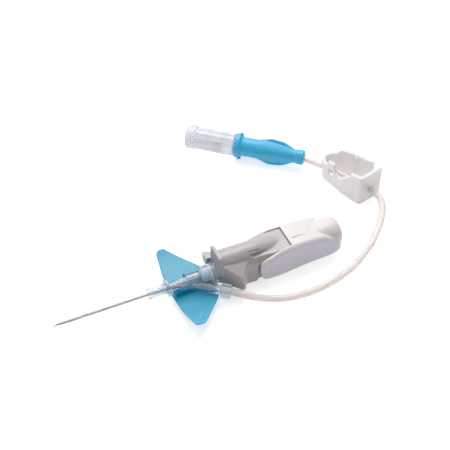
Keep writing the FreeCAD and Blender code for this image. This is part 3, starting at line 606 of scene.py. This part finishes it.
def buildTube():
    line = tubeLine()
    sides = tubeShape["sides"]
    ahead = (line[1] - line[0]).normalized()
    up = (Vector((0, 0, 1)) - ahead * ahead.z).normalized()
    points = []
    for index, place in enumerate(line):
        before = line[max(index - 1, 0)]
        after = line[min(index + 1, len(line) - 1)]
        ahead = (after - before).normalized()
        up = (up - ahead * up.dot(ahead)).normalized()
        side = ahead.cross(up)
        for radius in (tubeShape["outer"], tubeShape["inner"]):
            for k in range(sides):
                angle = 2 * math.pi * k / sides
                spoke = up * math.cos(angle) + side * math.sin(angle)
                points.append(place / mm + spoke * radius)
    faces = []
    ring = 2 * sides
    for row in range(len(line) - 1):
        for here in (row * ring, row * ring + sides):
            faces += quads(here, here + ring, sides)
    for start in (0, (len(line) - 1) * ring):
        faces += quads(start, start + sides, sides)
    tube = finished(workObject(points, faces), "extension_line", "adapter", "tube_clear",
                    ["extension_tube"])
    length = sum((b - a).length for a, b in zip(line, line[1:]))
    print("tube line is %.1f mm long" % (length / mm))
    return tube, line


tube, tubePath = buildTube()


# Wings: one thin strip curved upwards to both tips, on a thick foot that cradles the adapter

wingShape = {
    "outline": [(-6.25, 0, 0), (-6.25, 1.4, 0), (-5.95, 7.55, 9), (-5, 15.1, 1.5),
        (-2.5, 15.1, 1.5), (5.45, 6.19, 2), (6.25, 2.8, 0), (6.25, 0, 0)],
    "thickness": 0.6,
    "edgeRound": 0.3,
    "edgeLeast": 0.0004,
    "tipRows": (0.9, 0.55, 0.3, 0.15, 0.05, 0.01),
    "arc": [(2.5, 1.9), (9, 2.6), (16.1, 4.8)],
    "span": 15.1,
    "cradle": [(-1.9, 0.3, 0), (1.9, 0.3, 0), (1.4, 4.1, 0), (-1.4, 4.1, 0)],
    "cradleReach": 5.05,
    "foot": [(-3.5, 0.02, 0.3), (3.5, 0.02, 0.3), (3, 2.4, 0.8), (-3, 2.4, 0.8)],
    "footReach": 5.0,
}


def wingHeight(y):
    (y0, z0), (y1, z1), (y2, z2) = wingShape["arc"]
    if y <= y0:
        return z0
    turn = (y1 - y0) * (z2 - z0) - (z1 - z0) * (y2 - y0)
    a, b = (y1 - y0) ** 2 + (z1 - z0) ** 2, (y2 - y0) ** 2 + (z2 - z0) ** 2
    cy = ((z2 - z0) * a - (z1 - z0) * b) / (2 * turn)
    cz = ((y1 - y0) * b - (y2 - y0) * a) / (2 * turn)
    reach = math.hypot(cy, cz)
    return z0 + cz - math.sqrt(max(reach ** 2 - (y - y0 - cy) ** 2, 0))


def wingEdges(outline, y):
    # where the line at this distance from the middle crosses the outline
    places = []
    for (a, b), (c, d) in zip(outline, outline[1:]):
        if min(b, d) <= y <= max(b, d) and b != d:
            places.append(a + (c - a) * (y - b) / (d - b))
    return min(places), max(places)


def buildWings():
    outline = roundedOutline(wingShape["outline"], 5)
    thick = wingShape["thickness"]
    span = wingShape["span"]
    rows = [span * k / 40 for k in range(38)] + [span - left for left in wingShape["tipRows"]]
    rings = []
    for y in [-row for row in reversed(rows[1:])] + rows:
        first, last = wingEdges(outline, abs(y))
        short = max(wingShape["edgeRound"] - (span - abs(y)), 0)
        edge = min(thick / 2, math.sqrt(max(wingShape["edgeRound"] ** 2 - short ** 2,
                                            wingShape["edgeLeast"])))
        middle = wingHeight(abs(y)) + thick / 2
        flat = last - first - 2 * edge
        ring = []
        near, far = first + edge, last - edge
        for top, start, corner in ((1, near, far), (-1, far, near)):
            for k in range(24):
                ring.append(Vector((start + top * flat * k / 23, y, middle + top * edge)))
            for k in range(1, 8):
                turn = top * math.pi / 2 - math.pi * k / 8
                ring.append(Vector((corner + edge * math.cos(turn), y,
                                    middle + edge * math.sin(turn))))
        rings.append(ring)
    wings = lofted(rings)
    reach = wingShape["cradleReach"]
    cradle = prism(wingShape["cradle"], -reach, reach, fromEnd)
    combined(cradle, [turned(adapterShape["outside"])])
    foot = prism(wingShape["foot"], -wingShape["footReach"], wingShape["footReach"], fromEnd)
    combined(wings, [foot, cradle], "UNION")
    finished(wings, "butterfly_wings", "adapter", "wing_blue", ["wing_platform"], 40)


# Clear adapter: nose tube, barrel and side port, hollow as the real one is

adapterShape = {
    "outside": [(-13.2, 0, 0), (-13.2, 1.62, 0.1), (-12.4, 1.62, 0.1), (-12.25, 1.45, 0.1),
        (-7.9, 1.45, 0.15), (-7.9, 2.4, 0.12), (-7.1, 2.4, 0.12), (-7.1, 1.15, 0.1),
        (-1.9, 1.45, 0.2), (-1.9, 2.3, 0.15), (0, 2.3, 0.1), (0.15, 2.2, 0.1), (2.4, 2.2, 0.3),
        (2.75, 2.75, 0.3), (6.1, 3.05, 0.05), (6.1, 3.25, 0.08), (6.9, 3.25, 0.08), (6.9, 0, 0)],
    "nose": [(-14, 0.55, 0), (-14, 1, 0), (-7.95, 1, 0.1), (-7.9, 0.88, 0.05),
        (-11.9, 0.63, 0.05), (-11.9, 0, 0), (-14, 0, 0)],
    "passage": [(-12.1, 0, 0), (-12.1, 0.46, 0), (-9.5, 0.46, 0), (-8, 0.66, 0), (-4.8, 0.66, 0),
        (-3.7, 1.02, 0), (-3.7, 1.1, 0), (3.5, 1.1, 0), (3.5, 1.97, 0), (6.1, 1.97, 0),
        (6.1, 2.32, 0), (7.5, 2.32, 0), (7.5, 0, 0)],
    "portStart": (-1.35, 0, 4.6),
    "portDirection": (0.81047, -0.58236, -0.06279),
    "portOutside": [(0.9, 0, 0), (0.9, 1.45, 0), (9.6, 1.45, 0.15), (9.6, 2.05, 0.15),
        (12.5, 2.05, 0.15), (12.5, 0, 0)],
    "portInside": [(0.6, 0, 0), (0.6, 0.6, 0), (9.68, 0.6, 0), (9.68, 1.08, 0), (13.5, 1.08, 0),
        (13.5, 0, 0)],
}


def buildAdapter():
    shape = adapterShape
    body = turned(shape["outside"], steps=96)
    port = turned(shape["portOutside"], shape["portStart"], shape["portDirection"], 64)
    combined(body, [port], "UNION")
    inside = turned(shape["portInside"], shape["portStart"], shape["portDirection"], 48)
    combined(body, [turned(shape["nose"], steps=64), turned(shape["passage"], steps=64), inside])
    finished(body, "clear_adapter", "adapter", "adapter_clear", ["catheter_adapter"], 35)


# Handle: a lofted barrel with two arms. Behind its middle a rounded crown runs to the
# rear between the raised flanges that carry the pads. The hollows are given as front,
# rear, half width, floor and top.

handleShape = {
    # place, half width, underside, top, lower and upper corner radius
    "barrel": [(18, 4.95, 0.6, 9.5, 1.6, 1.2), (22.5, 5.3, 0.15, 10.4, 2, 1.3),
        (27, 5.3, 0.3, 10.7, 2, 1.4), (31.5, 5.15, 0.75, 10.9, 2, 1.5),
        (36.5, 5.1, 1.1, 10.5, 2, 1.6), (39, 5.12, 1.2, 10.1, 2, 1.6),
        (41, 5.1, 1.3, 9.2, 2, 1.6), (42.5, 5, 1.45, 8.3, 1.9, 1.5),
        (43.8, 4.75, 1.7, 7.2, 1.8, 1.4), (45, 4.2, 2.2, 6.1, 1.4, 1.2),
        (45.8, 3.4, 2.8, 5.2, 1, 1)],
    # place, half width, underside, top
    "crown": [(34, 3.2, 2.5, 8), (36, 4.2, 2, 10), (37.2, 4.5, 1.8, 10.4), (39, 4.6, 1.6, 10.7),
        (41, 4.6, 1.6, 10.9), (42, 4.6, 1.6, 11), (44, 4.4, 1.8, 10.75), (45, 3.95, 2.2, 10.25),
        (45.7, 3.2, 2.8, 9.3), (46, 2.4, 3.4, 8.2), (46.1, 1.6, 4.2, 7.2)],
    "crownPower": 2.2,
    # place, half width and floor of the hollow between the flanges
    "hollow": [(36.6, 0.3, 10.6), (37.4, 0.9, 10), (38.8, 2.7, 8.9), (40.9, 3.9, 7.4),
        (42.3, 4.45, 6.2), (43.4, 4.5, 5.2), (44.8, 4, 4.2), (46.6, 3, 3.6)],
    "sideView": [(18.95, 0.45, 4.5), (51, 0, 0), (51, 16, 0), (28.95, 16, 0), (28.95, 10.8, 0),
        (25.6, 10.65, 6), (18.95, 8.55, 1.4)],
    "padOutline": [(19.6, 0.4, 2.8), (28.2, 1.9, 20), (42.9, 2.3, 1.6), (44.2, 5.2, 1.8),
        (41.5, 8.5, 6), (33.7, 11.2, 9), (26.4, 9.9, 12), (20.2, 7.9, 1.8), (19, 6, 1.6)],
    "padGap": 0.07,
    "padInner": 4.65,
    "dash": [(29.9, -1.85, 0), (33.3, -1.85, 0), (33.9, -2.45, 0), (34.2, -2.2, 0),
        (33.5, -1.35, 0), (29.9, -1.35, 0)],
    "dashFloor": 10.6,
    "cavity": (10, 28.95, 3.75, 0.9, 20),
    "inner": (28.8, 36.0, 3.4, 2.0, 9.4),
    "carrierBore": (35, 39, 2.6),
    "lidGap": 0.15,
}
lidShape = {
    "front": 18.4, "rear": 28.8, "frontHalf": 4.5, "rearHalf": 3.75, "thickness": 0.8,
    "seam": [(18.4, 8), (25.8, 10.25), (28.8, 10.4)],
}


def buildLid(gap):
    # the shield's panel top, which laps over the handle's arms
    shape = lidShape
    front, rear = shape["front"] - gap, shape["rear"] + gap
    frontHalf, rearHalf = shape["frontHalf"] + gap, shape["rearHalf"] + gap
    plan = prism([(front, -frontHalf, 0), (rear, -rearHalf, 0), (rear, rearHalf, 0),
                  (front, frontHalf, 0)], 0, 16)
    under = shape["thickness"] + gap
    (_, z0), (x1, z1), (_, z2) = shape["seam"]
    band = prism([(front, z0 - under, 0), (x1, z1 - under, 6), (rear, z2 - under, 0),
                  (rear, 16, 0), (front, 16, 0)], -12, 12, fromSide)
    return combined(plan, [band], "INTERSECT")


def barrelLoft(rows, first, last, count):
    rings = []
    for k in range(count):
        x = first + (last - first) * k / (count - 1)
        half, low, high, lowRadius, highRadius = eased(rows, x)
        ring = roundedOutline([(-half, low, lowRadius), (half, low, lowRadius),
                               (half, high, highRadius), (-half, high, highRadius)], 9)
        rings.append([Vector((x, a, b)) for a, b in ring])
    return lofted(rings)


def crownLoft():
    rows = handleShape["crown"]
    power = 2 / handleShape["crownPower"]
    rings = []
    for k in range(60):
        x = rows[0][0] + (rows[-1][0] - rows[0][0]) * math.sin(math.pi / 2 * k / 59)
        half, low, high = eased(rows, x)
        middle, rise = (low + high) / 2, (high - low) / 2
        ring = []
        for j in range(64):
            turn = 2 * math.pi * j / 64
            across = math.copysign(abs(math.cos(turn)) ** power, math.cos(turn))
            upward = math.copysign(abs(math.sin(turn)) ** power, math.sin(turn))
            ring.append(Vector((x, half * across, middle + rise * upward)))
        rings.append(ring)
    return lofted(rings)


def hollowLoft():
    rows = handleShape["hollow"]
    rings = []
    for k in range(40):
        x = rows[0][0] + (rows[-1][0] - rows[0][0]) * k / 39
        half, floor = eased(rows, x)
        rings.append([Vector((x, -half, floor)), Vector((x, half, floor)),
                      Vector((x, half, 14)), Vector((x, -half, 14))])
    return lofted(rings)


def handleBarrel():
    rows = handleShape["barrel"]
    return barrelLoft(rows, rows[0][0], rows[-1][0], 70)


def padPrism(side, gap):
    inner = handleShape["padInner"] - (0 if gap else 0.02)
    outline = handleShape["padOutline"]
    middleX = sum(a for a, b, r in outline) / len(outline)
    middleZ = sum(b for a, b, r in outline) / len(outline)
    grown = []
    for a, b, r in outline:
        out = Vector((a - middleX, b - middleZ)).normalized() * gap
        grown.append((a + out.x, b + out.y, r))
    return prism(grown, side * inner, side * 9, fromSide, 6)


def buildHandle():
    shape = handleShape
    barrel = handleBarrel()
    combined(barrel, [hollowLoft()])
    combined(barrel, [crownLoft()], "UNION")
    combined(barrel, [prism(shape["sideView"], -12, 12, fromSide, 6)], "INTERSECT")
    dash = prism(shape["dash"], shape["dashFloor"], 12)
    combined(barrel, [block(*shape["cavity"]), buildLid(shape["lidGap"]), block(*shape["inner"]),
                      rod(*shape["carrierBore"]), dash,
                      padPrism(1, shape["padGap"]), padPrism(-1, shape["padGap"])])
    moulded(barrel, 0.11, 3, 0.3)
    finished(barrel, "handle_body", "handle", "handle_white", ["handle_shell"])


def buildPads():
    for side, name in ((-1, "near"), (1, "far")):
        pad = handleBarrel()
        combined(pad, [padPrism(side, 0)], "INTERSECT")
        combined(pad, [buildLid(handleShape["lidGap"]), hollowLoft()])
        moulded(pad, 0.09, 2, 0.35)
        finished(pad, "grip_pad_" + name, "handle", "pad_lavender", ["side_pad_" + name])


# Shield: push-off tab, hood, finger stops, and the panel that fits into the handle

shieldShape = {
    "near": [(7.45, 0, 0), (7.45, 3, 0), (12.2, 7.6, 0.5), (13.3, 7.3, 0.4)],
    "far": [(7.45, 0, 0), (7.45, 3.6, 0), (5.9, 3.6, 0), (5.9, 7.1, 0.5), (10.5, 4.8, 1.5)],
    "rest": [(13.6, 4.3, 2.5), (18.4, 4.3, 0), (18.4, 3.6, 0), (28.8, 3.6, 0), (28.8, 0, 0)],
    "sideView": [(4.9, 4.2, 0), (12.9, 3.1, 0.3), (15, 1.3, 2), (19, 1.1, 0), (28.8, 1.1, 0),
        (28.8, 10.4, 0.3), (18.4, 10, 0), (12.2, 10, 0), (4.9, 10.8, 0)],
    # place, root distance and height, edge distance and height of what lies above the shelf
    "shelfNear": [(4.9, 3.5, 10.8, 7.6, 8), (12.2, 3.5, 10, 7.6, 8)],
    "shelfFar": [(4.9, 3.5, 7.8, 7.6, 7.7), (12.2, 3.5, 7.8, 7.6, 7.7)],
    "shelfRest": [(15.4, 3.5, 10, 5.2, 8), (18.4, 3.5, 10, 4.5, 8), (22.1, 3.7, 10.2, 4.5, 9.13),
        (26.3, 3.75, 10.4, 4.5, 10.3)],
    "underStop": [(4.9, 3.4, 0), (7.45, 3.4, 0), (7.45, 11, 0), (4.9, 11, 0)],
    "underStopTop": 5.0,
    "pocket": [(9.8, -3.5, 0), (12.4, -6.6, 0), (13.3, -3.3, 0), (17.4, -3.3, 0), (17.4, -3, 0),
        (9.8, -3, 0)],
    "pocketTop": 6.7,
    "hood": [(7.55, 0, 0), (7.55, 3.8, 0.15), (18, 3.7, 9), (20.4, 3.45, 6), (22.3, 3.05, 6),
        (24.2, 2.55, 6), (27.6, 1.7, 0), (27.6, 0, 0)],
    "hoodHeight": 8.5,
    "flankLow": [(18.2, 3.9), (18.6, 2.2), (21.3, 2.2), (21.8, 3.9)],
    "flankHigh": [(12.9, 3.9), (13.3, 2.75), (23.4, 2.75), (23.8, 3.9)],
    "tab": [(-3.2, 3.6, 0.8), (3.2, 3.6, 0.8), (3.2, 13.1, 0.5), (-3.2, 13.1, 1.3)],
    "tabFront": 7.05,
    "tabRear": 8.15,
    "ridges": 6,
    "ridgeDepth": 0.32,
    "ridgeShare": 0.34,
    "ridgeFloor": 8.75,
    "slot": [(16.3, -1.95, 0), (19.8, -1.95, 0), (19.8, -2.2, 0), (16.3, -2.2, 0)],
    # front, rear and diameter of the core and the nose, and of the bores through them
    "core": (7.55, 28.8, 5.9),
    "nose": (5.65, 7.25, 4.3),
    "bores": [(9.4, 30, 4.6), (0, 29, 0.72)],
    # where the hood runs out softly into the panel
    "blend": {"front": 19.5, "run": 3, "rear": 28, "low": 9.2, "half": 3.4, "passes": 200},
}


def shieldHalf(side):
    corners = shieldShape["near" if side < 0 else "far"] + shieldShape["rest"]
    return prism([(x, side * y, r) for x, y, r in corners], 0, 14)


def shelfLoft(side):
    rings = []
    rows = shieldShape["shelfNear" if side < 0 else "shelfFar"] + shieldShape["shelfRest"]
    for x, root, rootHeight, edge, edgeHeight in rows:
        fall = (rootHeight - edgeHeight) / (edge - root)
        ring = [(root, rootHeight), (edge + 1, edgeHeight - fall), (edge + 6, edgeHeight - fall),
                (edge + 6, 16), (root, 16)]
        rings.append([Vector((x, side * y, z)) for y, z in ring])
    return lofted(rings)


def flankLoft(side):
    shape = shieldShape
    return lofted([[Vector((x, side * y, 9.4)) for x, y in shape["flankLow"]],
                   [Vector((x, side * y, 12.6)) for x, y in shape["flankHigh"]]])


def panelBlend(spot):
    blend = shieldShape["blend"]
    share = min(max((spot.x - blend["front"]) / blend["run"], 0), 1)
    inside = spot.z > blend["low"] and abs(spot.y) < blend["half"] and spot.x < blend["rear"]
    return share * inside


def buildShield():
    shape = shieldShape
    body = shieldHalf(-1)
    combined(body, [shieldHalf(1), buildLid(0)], "UNION")
    combined(body, [prism(shape["sideView"], -12, 12, fromSide)], "INTERSECT")
    underStop = prism(shape["underStop"], 0, shape["underStopTop"])
    combined(body, [shelfLoft(-1), shelfLoft(1), underStop,
                    prism(shape["pocket"], -1, shape["pocketTop"])])
    hood = turned(shape["hood"], (0, 0, shape["hoodHeight"]), steps=96)
    combined(hood, [flankLoft(-1), flankLoft(1)])
    tab = prism(shape["tab"], shape["tabFront"], shape["tabRear"], fromEnd)
    combined(body, [rod(*shape["core"]), hood, tab, rod(*shape["nose"])], "UNION")
    front = shape["tabFront"]
    tabEdge = shape["tab"][0][0]
    pitch = -2 * tabEdge / shape["ridges"]
    half = pitch * shape["ridgeShare"]
    cuts = []
    for k in range(shape["ridges"]):
        y = tabEdge + (k + 0.5) * pitch
        cuts.append(prism([(front - 0.05, y - half, 0), (front + shape["ridgeDepth"], y, 0),
                           (front - 0.05, y + half, 0)], shape["ridgeFloor"], 14))
    slotFloor = shape["hoodHeight"] + math.sqrt(3.75 ** 2 - 2.75 ** 2) - 0.25
    cuts.append(prism(shape["slot"], slotFloor, 16))
    combined(body, cuts + [rod(*bore) for bore in shape["bores"]])
    moulded(body, 0.11, 3, 0.34, panelBlend, shape["blend"]["passes"])
    finished(body, "shield_body", "shield", "shield_grey", ["shield_grip"])


# Pinch clamp: one moulded strip bent into a C, lying on its edge

clampShape = {
    "entry": (64.6, 13.2, 4.1),
    "angle": 118.8,
    "width": 10.2,
    "wall": 1.1,
    "outline": [(-1.2, 3.8, 0.3), (0.95, -4.35, 1.3), (7.5, -4.55, 30), (15.2, -3.3, 3.2),
        (18, 0.1, 2.6), (15.6, 3.6, 3.4), (10, 4.9, 9), (1.6, 5.1, 0), (-0.5, 4.3, 0)],
    "mouth": [(-0.7, 4.3, 0), (0.5, 3, 0), (2.2, 3, 0), (1.7, 9, 0), (-0.7, 9, 0)],
    "taper": [(-5, 0, 0), (2.6, 0, 6), (12, 1.9, 6), (19.5, 2.4, 0), (19.5, 8.3, 0),
        (14.2, 8.5, 0.7), (13.3, 10.2, 0.7), (-5, 10.2, 0)],
    "notch": [(4.6, 11.2, 0), (5.2, 9, 0.6), (9.4, 5.6, 1.2), (10.9, 9.3, 0.8), (11.4, 11.2, 0)],
    "slot": [(11.4, 5, 0.9), (13.3, 5, 0.9), (13.3, 7.8, 0.9), (11.4, 7.8, 0.9)],
    "nearRidge": [(6.6, -3.9, 0), (7.9, -1.7, 0.5), (9.2, -3.9, 0)],
    "farRidge": [(7.2, 4.3, 0), (7.9, 2, 0.5), (8.6, 4.3, 0)],
    "catch": [(-1, 3.8, 0), (0.5, 4.35, 0.1), (0.2, 3, 0), (-0.8, 2.8, 0)],
    "window": [(13.4, -2.6, 0), (20, -2.6, 0), (20, 1.3, 0), (13.4, 1.3, 0)],
    "heights": {"nearRidge": (0.9, 5.6), "farRidge": (0.9, 9.8), "catch": (0.6, 9.6),
        "window": (2.6, 5.6)},
    "entryHole": [(-4, 0, 0), (-4, 1.25, 0), (4, 1.25, 0), (4, 0, 0)],
}


def clampAxes():
    turn = math.radians(clampShape["angle"])
    along = Vector((math.cos(turn), math.sin(turn), 0))
    return along, Vector((along.y, -along.x, 0))


def clampPlan(u, v, z):
    along, across = clampAxes()
    spot = Vector(clampShape["entry"]) + along * u + across * v
    return Vector((spot.x, spot.y, z))


def clampSide(u, z, v):
    return clampPlan(u, v, z)


def insetCorners(corners, distance):
    # each edge moves inwards by the distance, and each corner's radius shrinks by it
    count = len(corners)
    area = sum(corners[k - 1][0] * corners[k][1] - corners[k][0] * corners[k - 1][1]
               for k in range(count))
    turn = 1 if area > 0 else -1
    lines = []
    for k in range(count):
        start, end = Vector(corners[k][:2]), Vector(corners[(k + 1) % count][:2])
        ahead = (end - start).normalized()
        lines.append((start + Vector((-ahead.y, ahead.x)) * turn * distance, ahead))
    inner = []
    for k in range(count):
        (p, d), (q, e) = lines[k - 1], lines[k]
        share = ((q.x - p.x) * e.y - (q.y - p.y) * e.x) / (d.x * e.y - d.y * e.x)
        spot = p + d * share
        inner.append((spot.x, spot.y, max(corners[k][2] - distance, 0)))
    return inner


def buildClamp():
    shape = clampShape
    wide = shape["width"]
    strip = prism(shape["outline"], 0, wide, clampPlan, 6)
    hollow = prism(insetCorners(shape["outline"], shape["wall"]), -1, wide + 1, clampPlan, 6)
    combined(strip, [hollow, prism(shape["mouth"], -1, wide + 1, clampPlan)])
    combined(strip, [prism(shape["taper"], -9, 9, clampSide, 6)], "INTERSECT")

    def upright(name):
        return prism(shape[name], *shape["heights"][name], clampPlan)

    combined(strip, [upright("nearRidge"), upright("farRidge"), upright("catch")], "UNION")
    entry = turned(shape["entryHole"], shape["entry"], clampAxes()[0], 48)
    combined(strip, [entry, upright("window"),
                     prism(shape["notch"], -9, -2, clampSide, 6),
                     prism(shape["slot"], -9, -2, clampSide, 6)])
    moulded(strip, 0.12, 5, 0.35)
    return finished(strip, "clamp_body", "pinch_clamp", "clamp_white", ["pinch_clamp"])


# Luer hub and vent plug share one axis, measured outwards from the hub's mouth

hubShape = {
    "mouth": (35.8140, 48.2618, 4.1),
    "angle": 139.3,
    "roll": 28.0,
    "profile": [(0, 2.14, 0), (0, 3.9, 0.25), (-1.5, 3.9, 0.3), (-2.2, 3.05, 0.4), (-7, 3.05, 0),
        (-8, 3.03, 0), (-9, 2.97, 0), (-10, 2.89, 0), (-11, 2.81, 0), (-13, 2.65, 0),
        (-15, 2.49, 0), (-16, 2.41, 0), (-17, 2.33, 0), (-18, 2.25, 0), (-18.9, 2.18, 0),
        (-19.4, 2.15, 0.1), (-20, 2.35, 0.3), (-21.9, 2.35, 0.3), (-22.2, 2.05, 0.1),
        (-22.2, 1.05, 0), (-17.7, 1.05, 0), (-17.7, 0.6, 0), (-7.5, 0.6, 0), (-7.5, 1.92, 0)],
    "fin": [(-6.6, 1, 0), (-7.6, 3, 1.2), (-11, 4.1, 5), (-15.2, 3.75, 5), (-18.8, 2.2, 1.2),
        (-18.6, 1.2, 0)],
    "finThickness": 1.5,
    # the body swells at the fins' roots between these two places
    "rootFront": -7.0,
    "rootRear": -18.9,
    "rootRun": 3,
    "rootLeast": 2.0,
    "rootRise": 0.7,
    "rootPower": 9,
    "nib": (-2.0, -1.0, 4.25, 0.9),
}
plugShape = {
    "profile": [(0.4, 3.45, 0.15), (13, 3.45, 0.1), (13, 3.85, 0.2), (15.9, 3.85, 0.3),
        (15.9, 3.1, 0.1), (15.4, 2.8, 0.1), (4.6, 2.7, 0.3), (4.6, 0.6, 0), (-7, 0.6, 0),
        (-7, 1.89, 0.1), (0.4, 2.11, 0)],
    "ribs": 14,
    "ribHeight": 0.2,
    "ribFrom": 0.55,
    "ribbed": (3.3, 3.6),
    "ribFront": 13.0,
}


def hubAxis():
    turn = math.radians(hubShape["angle"])
    return Vector((math.cos(turn), math.sin(turn), 0))


def buildHub():
    shape = hubShape
    axis = hubAxis()
    turn = math.radians(shape["roll"])

    def finRoot(distance, radius, angle):
        if radius < shape["rootLeast"]:
            return 0
        share = min(max((shape["rootFront"] - distance) / shape["rootRun"], 0),
                    max((distance - shape["rootRear"]) / shape["rootRun"], 0), 1)
        near = abs(math.cos(angle - turn)) ** shape["rootPower"]
        return shape["rootRise"] * math.sin(math.pi / 2 * share) * near

    body = turned(shape["profile"], shape["mouth"], axis, 96, finRoot)
    up = Matrix.Rotation(turn, 3, axis) @ Vector((0, 0, 1))
    aside = axis.cross(up)

    def place(t, h, s):
        return Vector(shape["mouth"]) + axis * t + up * h + aside * s

    half = shape["finThickness"] / 2
    back, front, reach, wide = shape["nib"]
    parts = []
    for side in (-1, 1):
        parts.append(prism([(t, side * h, r) for t, h, r in shape["fin"]], -half, half, place, 6))
        parts.append(prism([(back, side * 2.6, 0), (front, side * 2.6, 0),
                            (front, side * reach, 0.15), (back, side * reach, 0.15)],
                           -wide, wide, place))
    combined(body, parts, "UNION")
    moulded(body, 0.12, 4, 0.3)
    return finished(body, "hub_body", "adapter", "hub_blue", ["luer_hub"])


def buildPlug():
    shape = plugShape

    def ribLift(distance, radius, angle):
        low, high = shape["ribbed"]
        if not (low < radius < high and distance < shape["ribFront"]):
            return 0
        near = math.cos(shape["ribs"] * angle) - shape["ribFrom"]
        return shape["ribHeight"] * max(near / (1 - shape["ribFrom"]), 0) ** 0.6

    body = turned(shape["profile"], hubShape["mouth"], hubAxis(), shape["ribs"] * 20, ribLift)
    return finished(body, "plug_body", "vent_plug", "plug_frosted", ["vent_plug"], 40)


buildWings()
buildAdapter()
buildHandle()
buildPads()
buildShield()
clamp = buildClamp()
hub = buildHub()
plug = buildPlug()


# Floor and lights

studio = {
    "floorSize": 3.0,
    "floorDrop": 0.02,
    "floorColor": (0.8, 0.8, 0.8),
    "floorGlow": 0.6,
    "floorBounce": 0.15,
    # dimmest and brightest light on the object, and in its reflections
    "world": (0.11, 0.72),
    "shine": (0.3, 1.7),
    "worldToward": (-0.1, 0.75, 0.65),
    "lampDistance": 0.9,
    "lampSize": 0.6,
    "lamps": [
        {"name": "keyLamp", "toward": (0.0, 0.45, 0.9), "power": 4.6},
        {"name": "sideLamp", "toward": (-0.75, 0.1, 0.6), "power": 0.3},
    ],
}


def buildFloor():
    half = studio["floorSize"] / 2
    low = cadBounds[0][2] - studio["floorDrop"] * mm
    mesh = bpy.data.meshes.new("floor")
    mesh.from_pydata([(-half, -half, low), (half, -half, low), (half, half, low),
                      (-half, half, low)], [], [(0, 1, 2, 3)])
    floor = newObject("floor", mesh)
    material = bpy.data.materials.new("floor_white")
    material.use_nodes = True
    tree = material.node_tree
    tree.nodes.remove(tree.nodes["Principled BSDF"])
    matte = newNode(tree, "BsdfDiffuse")
    matte.inputs["Color"].default_value = studio["floorColor"] + (1,)
    glow = newNode(tree, "Emission")
    rays = newNode(tree, "LightPath")
    seen = mathNode(tree, "MAXIMUM", rays.outputs["Is Camera Ray"], rays.outputs["Is Glossy Ray"])
    seen = mathNode(tree, "MAXIMUM", seen, rays.outputs["Is Transmission Ray"])
    feed(tree, glow.inputs["Strength"],
         rangeNode(tree, seen, 0.0, 1.0, studio["floorBounce"], studio["floorGlow"]))
    both = newNode(tree, "AddShader")
    feed(tree, both.inputs[0], matte.outputs[0])
    feed(tree, both.inputs[1], glow.outputs[0])
    feed(tree, tree.nodes["Material Output"].inputs["Surface"], both.outputs[0])
    mesh.materials.append(material)


def buildWorld():
    world = bpy.data.worlds.new("world")
    bpy.context.scene.world = world
    world.use_nodes = True
    tree = world.node_tree
    back = tree.nodes["Background"]
    back.inputs["Color"].default_value = (1, 1, 1, 1)
    rays = newNode(tree, "LightPath")
    seen = mathNode(tree, "MAXIMUM", rays.outputs["Is Camera Ray"],
                    rays.outputs["Is Transmission Ray"])
    # the light on the object is strongest from above and behind
    place = newNode(tree, "TexCoord").outputs["Generated"]
    facing = newNode(tree, "VectorMath")
    facing.operation = "DOT_PRODUCT"
    feed(tree, facing.inputs[0], place)
    facing.inputs[1].default_value = studio["worldToward"]
    light = rangeNode(tree, facing.outputs["Value"], -0.5, 1.0, *studio["world"])
    shine = rangeNode(tree, facing.outputs["Value"], -0.3, 1.0, *studio["shine"])
    level = rangeNode(tree, rays.outputs["Is Glossy Ray"], 0.0, 1.0, light, shine)
    feed(tree, back.inputs["Strength"], rangeNode(tree, seen, 0.0, 1.0, level, 1.0))


def buildLamps():
    aim = Vector(cameraView["target"]) * mm
    facing = Vector(cameraView["target"]) - Vector(cameraView["place"])
    behind = Vector((facing.x, facing.y, 0)).normalized()
    right = Vector((behind.y, -behind.x, 0))
    for lamp in studio["lamps"]:
        light = bpy.data.lights.new(lamp["name"], "AREA")
        light.size = studio["lampSize"]
        light.energy = lamp["power"]
        holder = newObject(lamp["name"], light)
        across, back, up = lamp["toward"]
        toward = (right * across + behind * back + Vector((0, 0, up))).normalized()
        holder.location = aim + toward * studio["lampDistance"]
        holder.rotation_euler = (-toward).to_track_quat("-Z", "Y").to_euler()


buildFloor()
buildWorld()
buildLamps()
bpy.context.scene.view_settings.view_transform = "Standard"
print("floor, world and lamps set")


# CAD nodes that stay as they are get their finishes here

nodeFinish = {
    "needle": "needle_steel", "needle_carrier": "hub_clear", "shield_canister": "inner_white",
    "shield_clip": "spring_steel", "shield_retainer": "spring_steel",
    "shield_end_cap": "inner_white", "catheter_tube": "catheter_clear",
    "catheter_wedge": "wedge_steel", "septum": "septum_rubber", "septum_washer": "inner_white",
    "vent_filter": "filter_white",
}
for name, finish in nodeFinish.items():
    mesh = nodes[name].data
    mesh.materials.clear()
    mesh.materials.append(materials[finish])

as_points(tubePath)
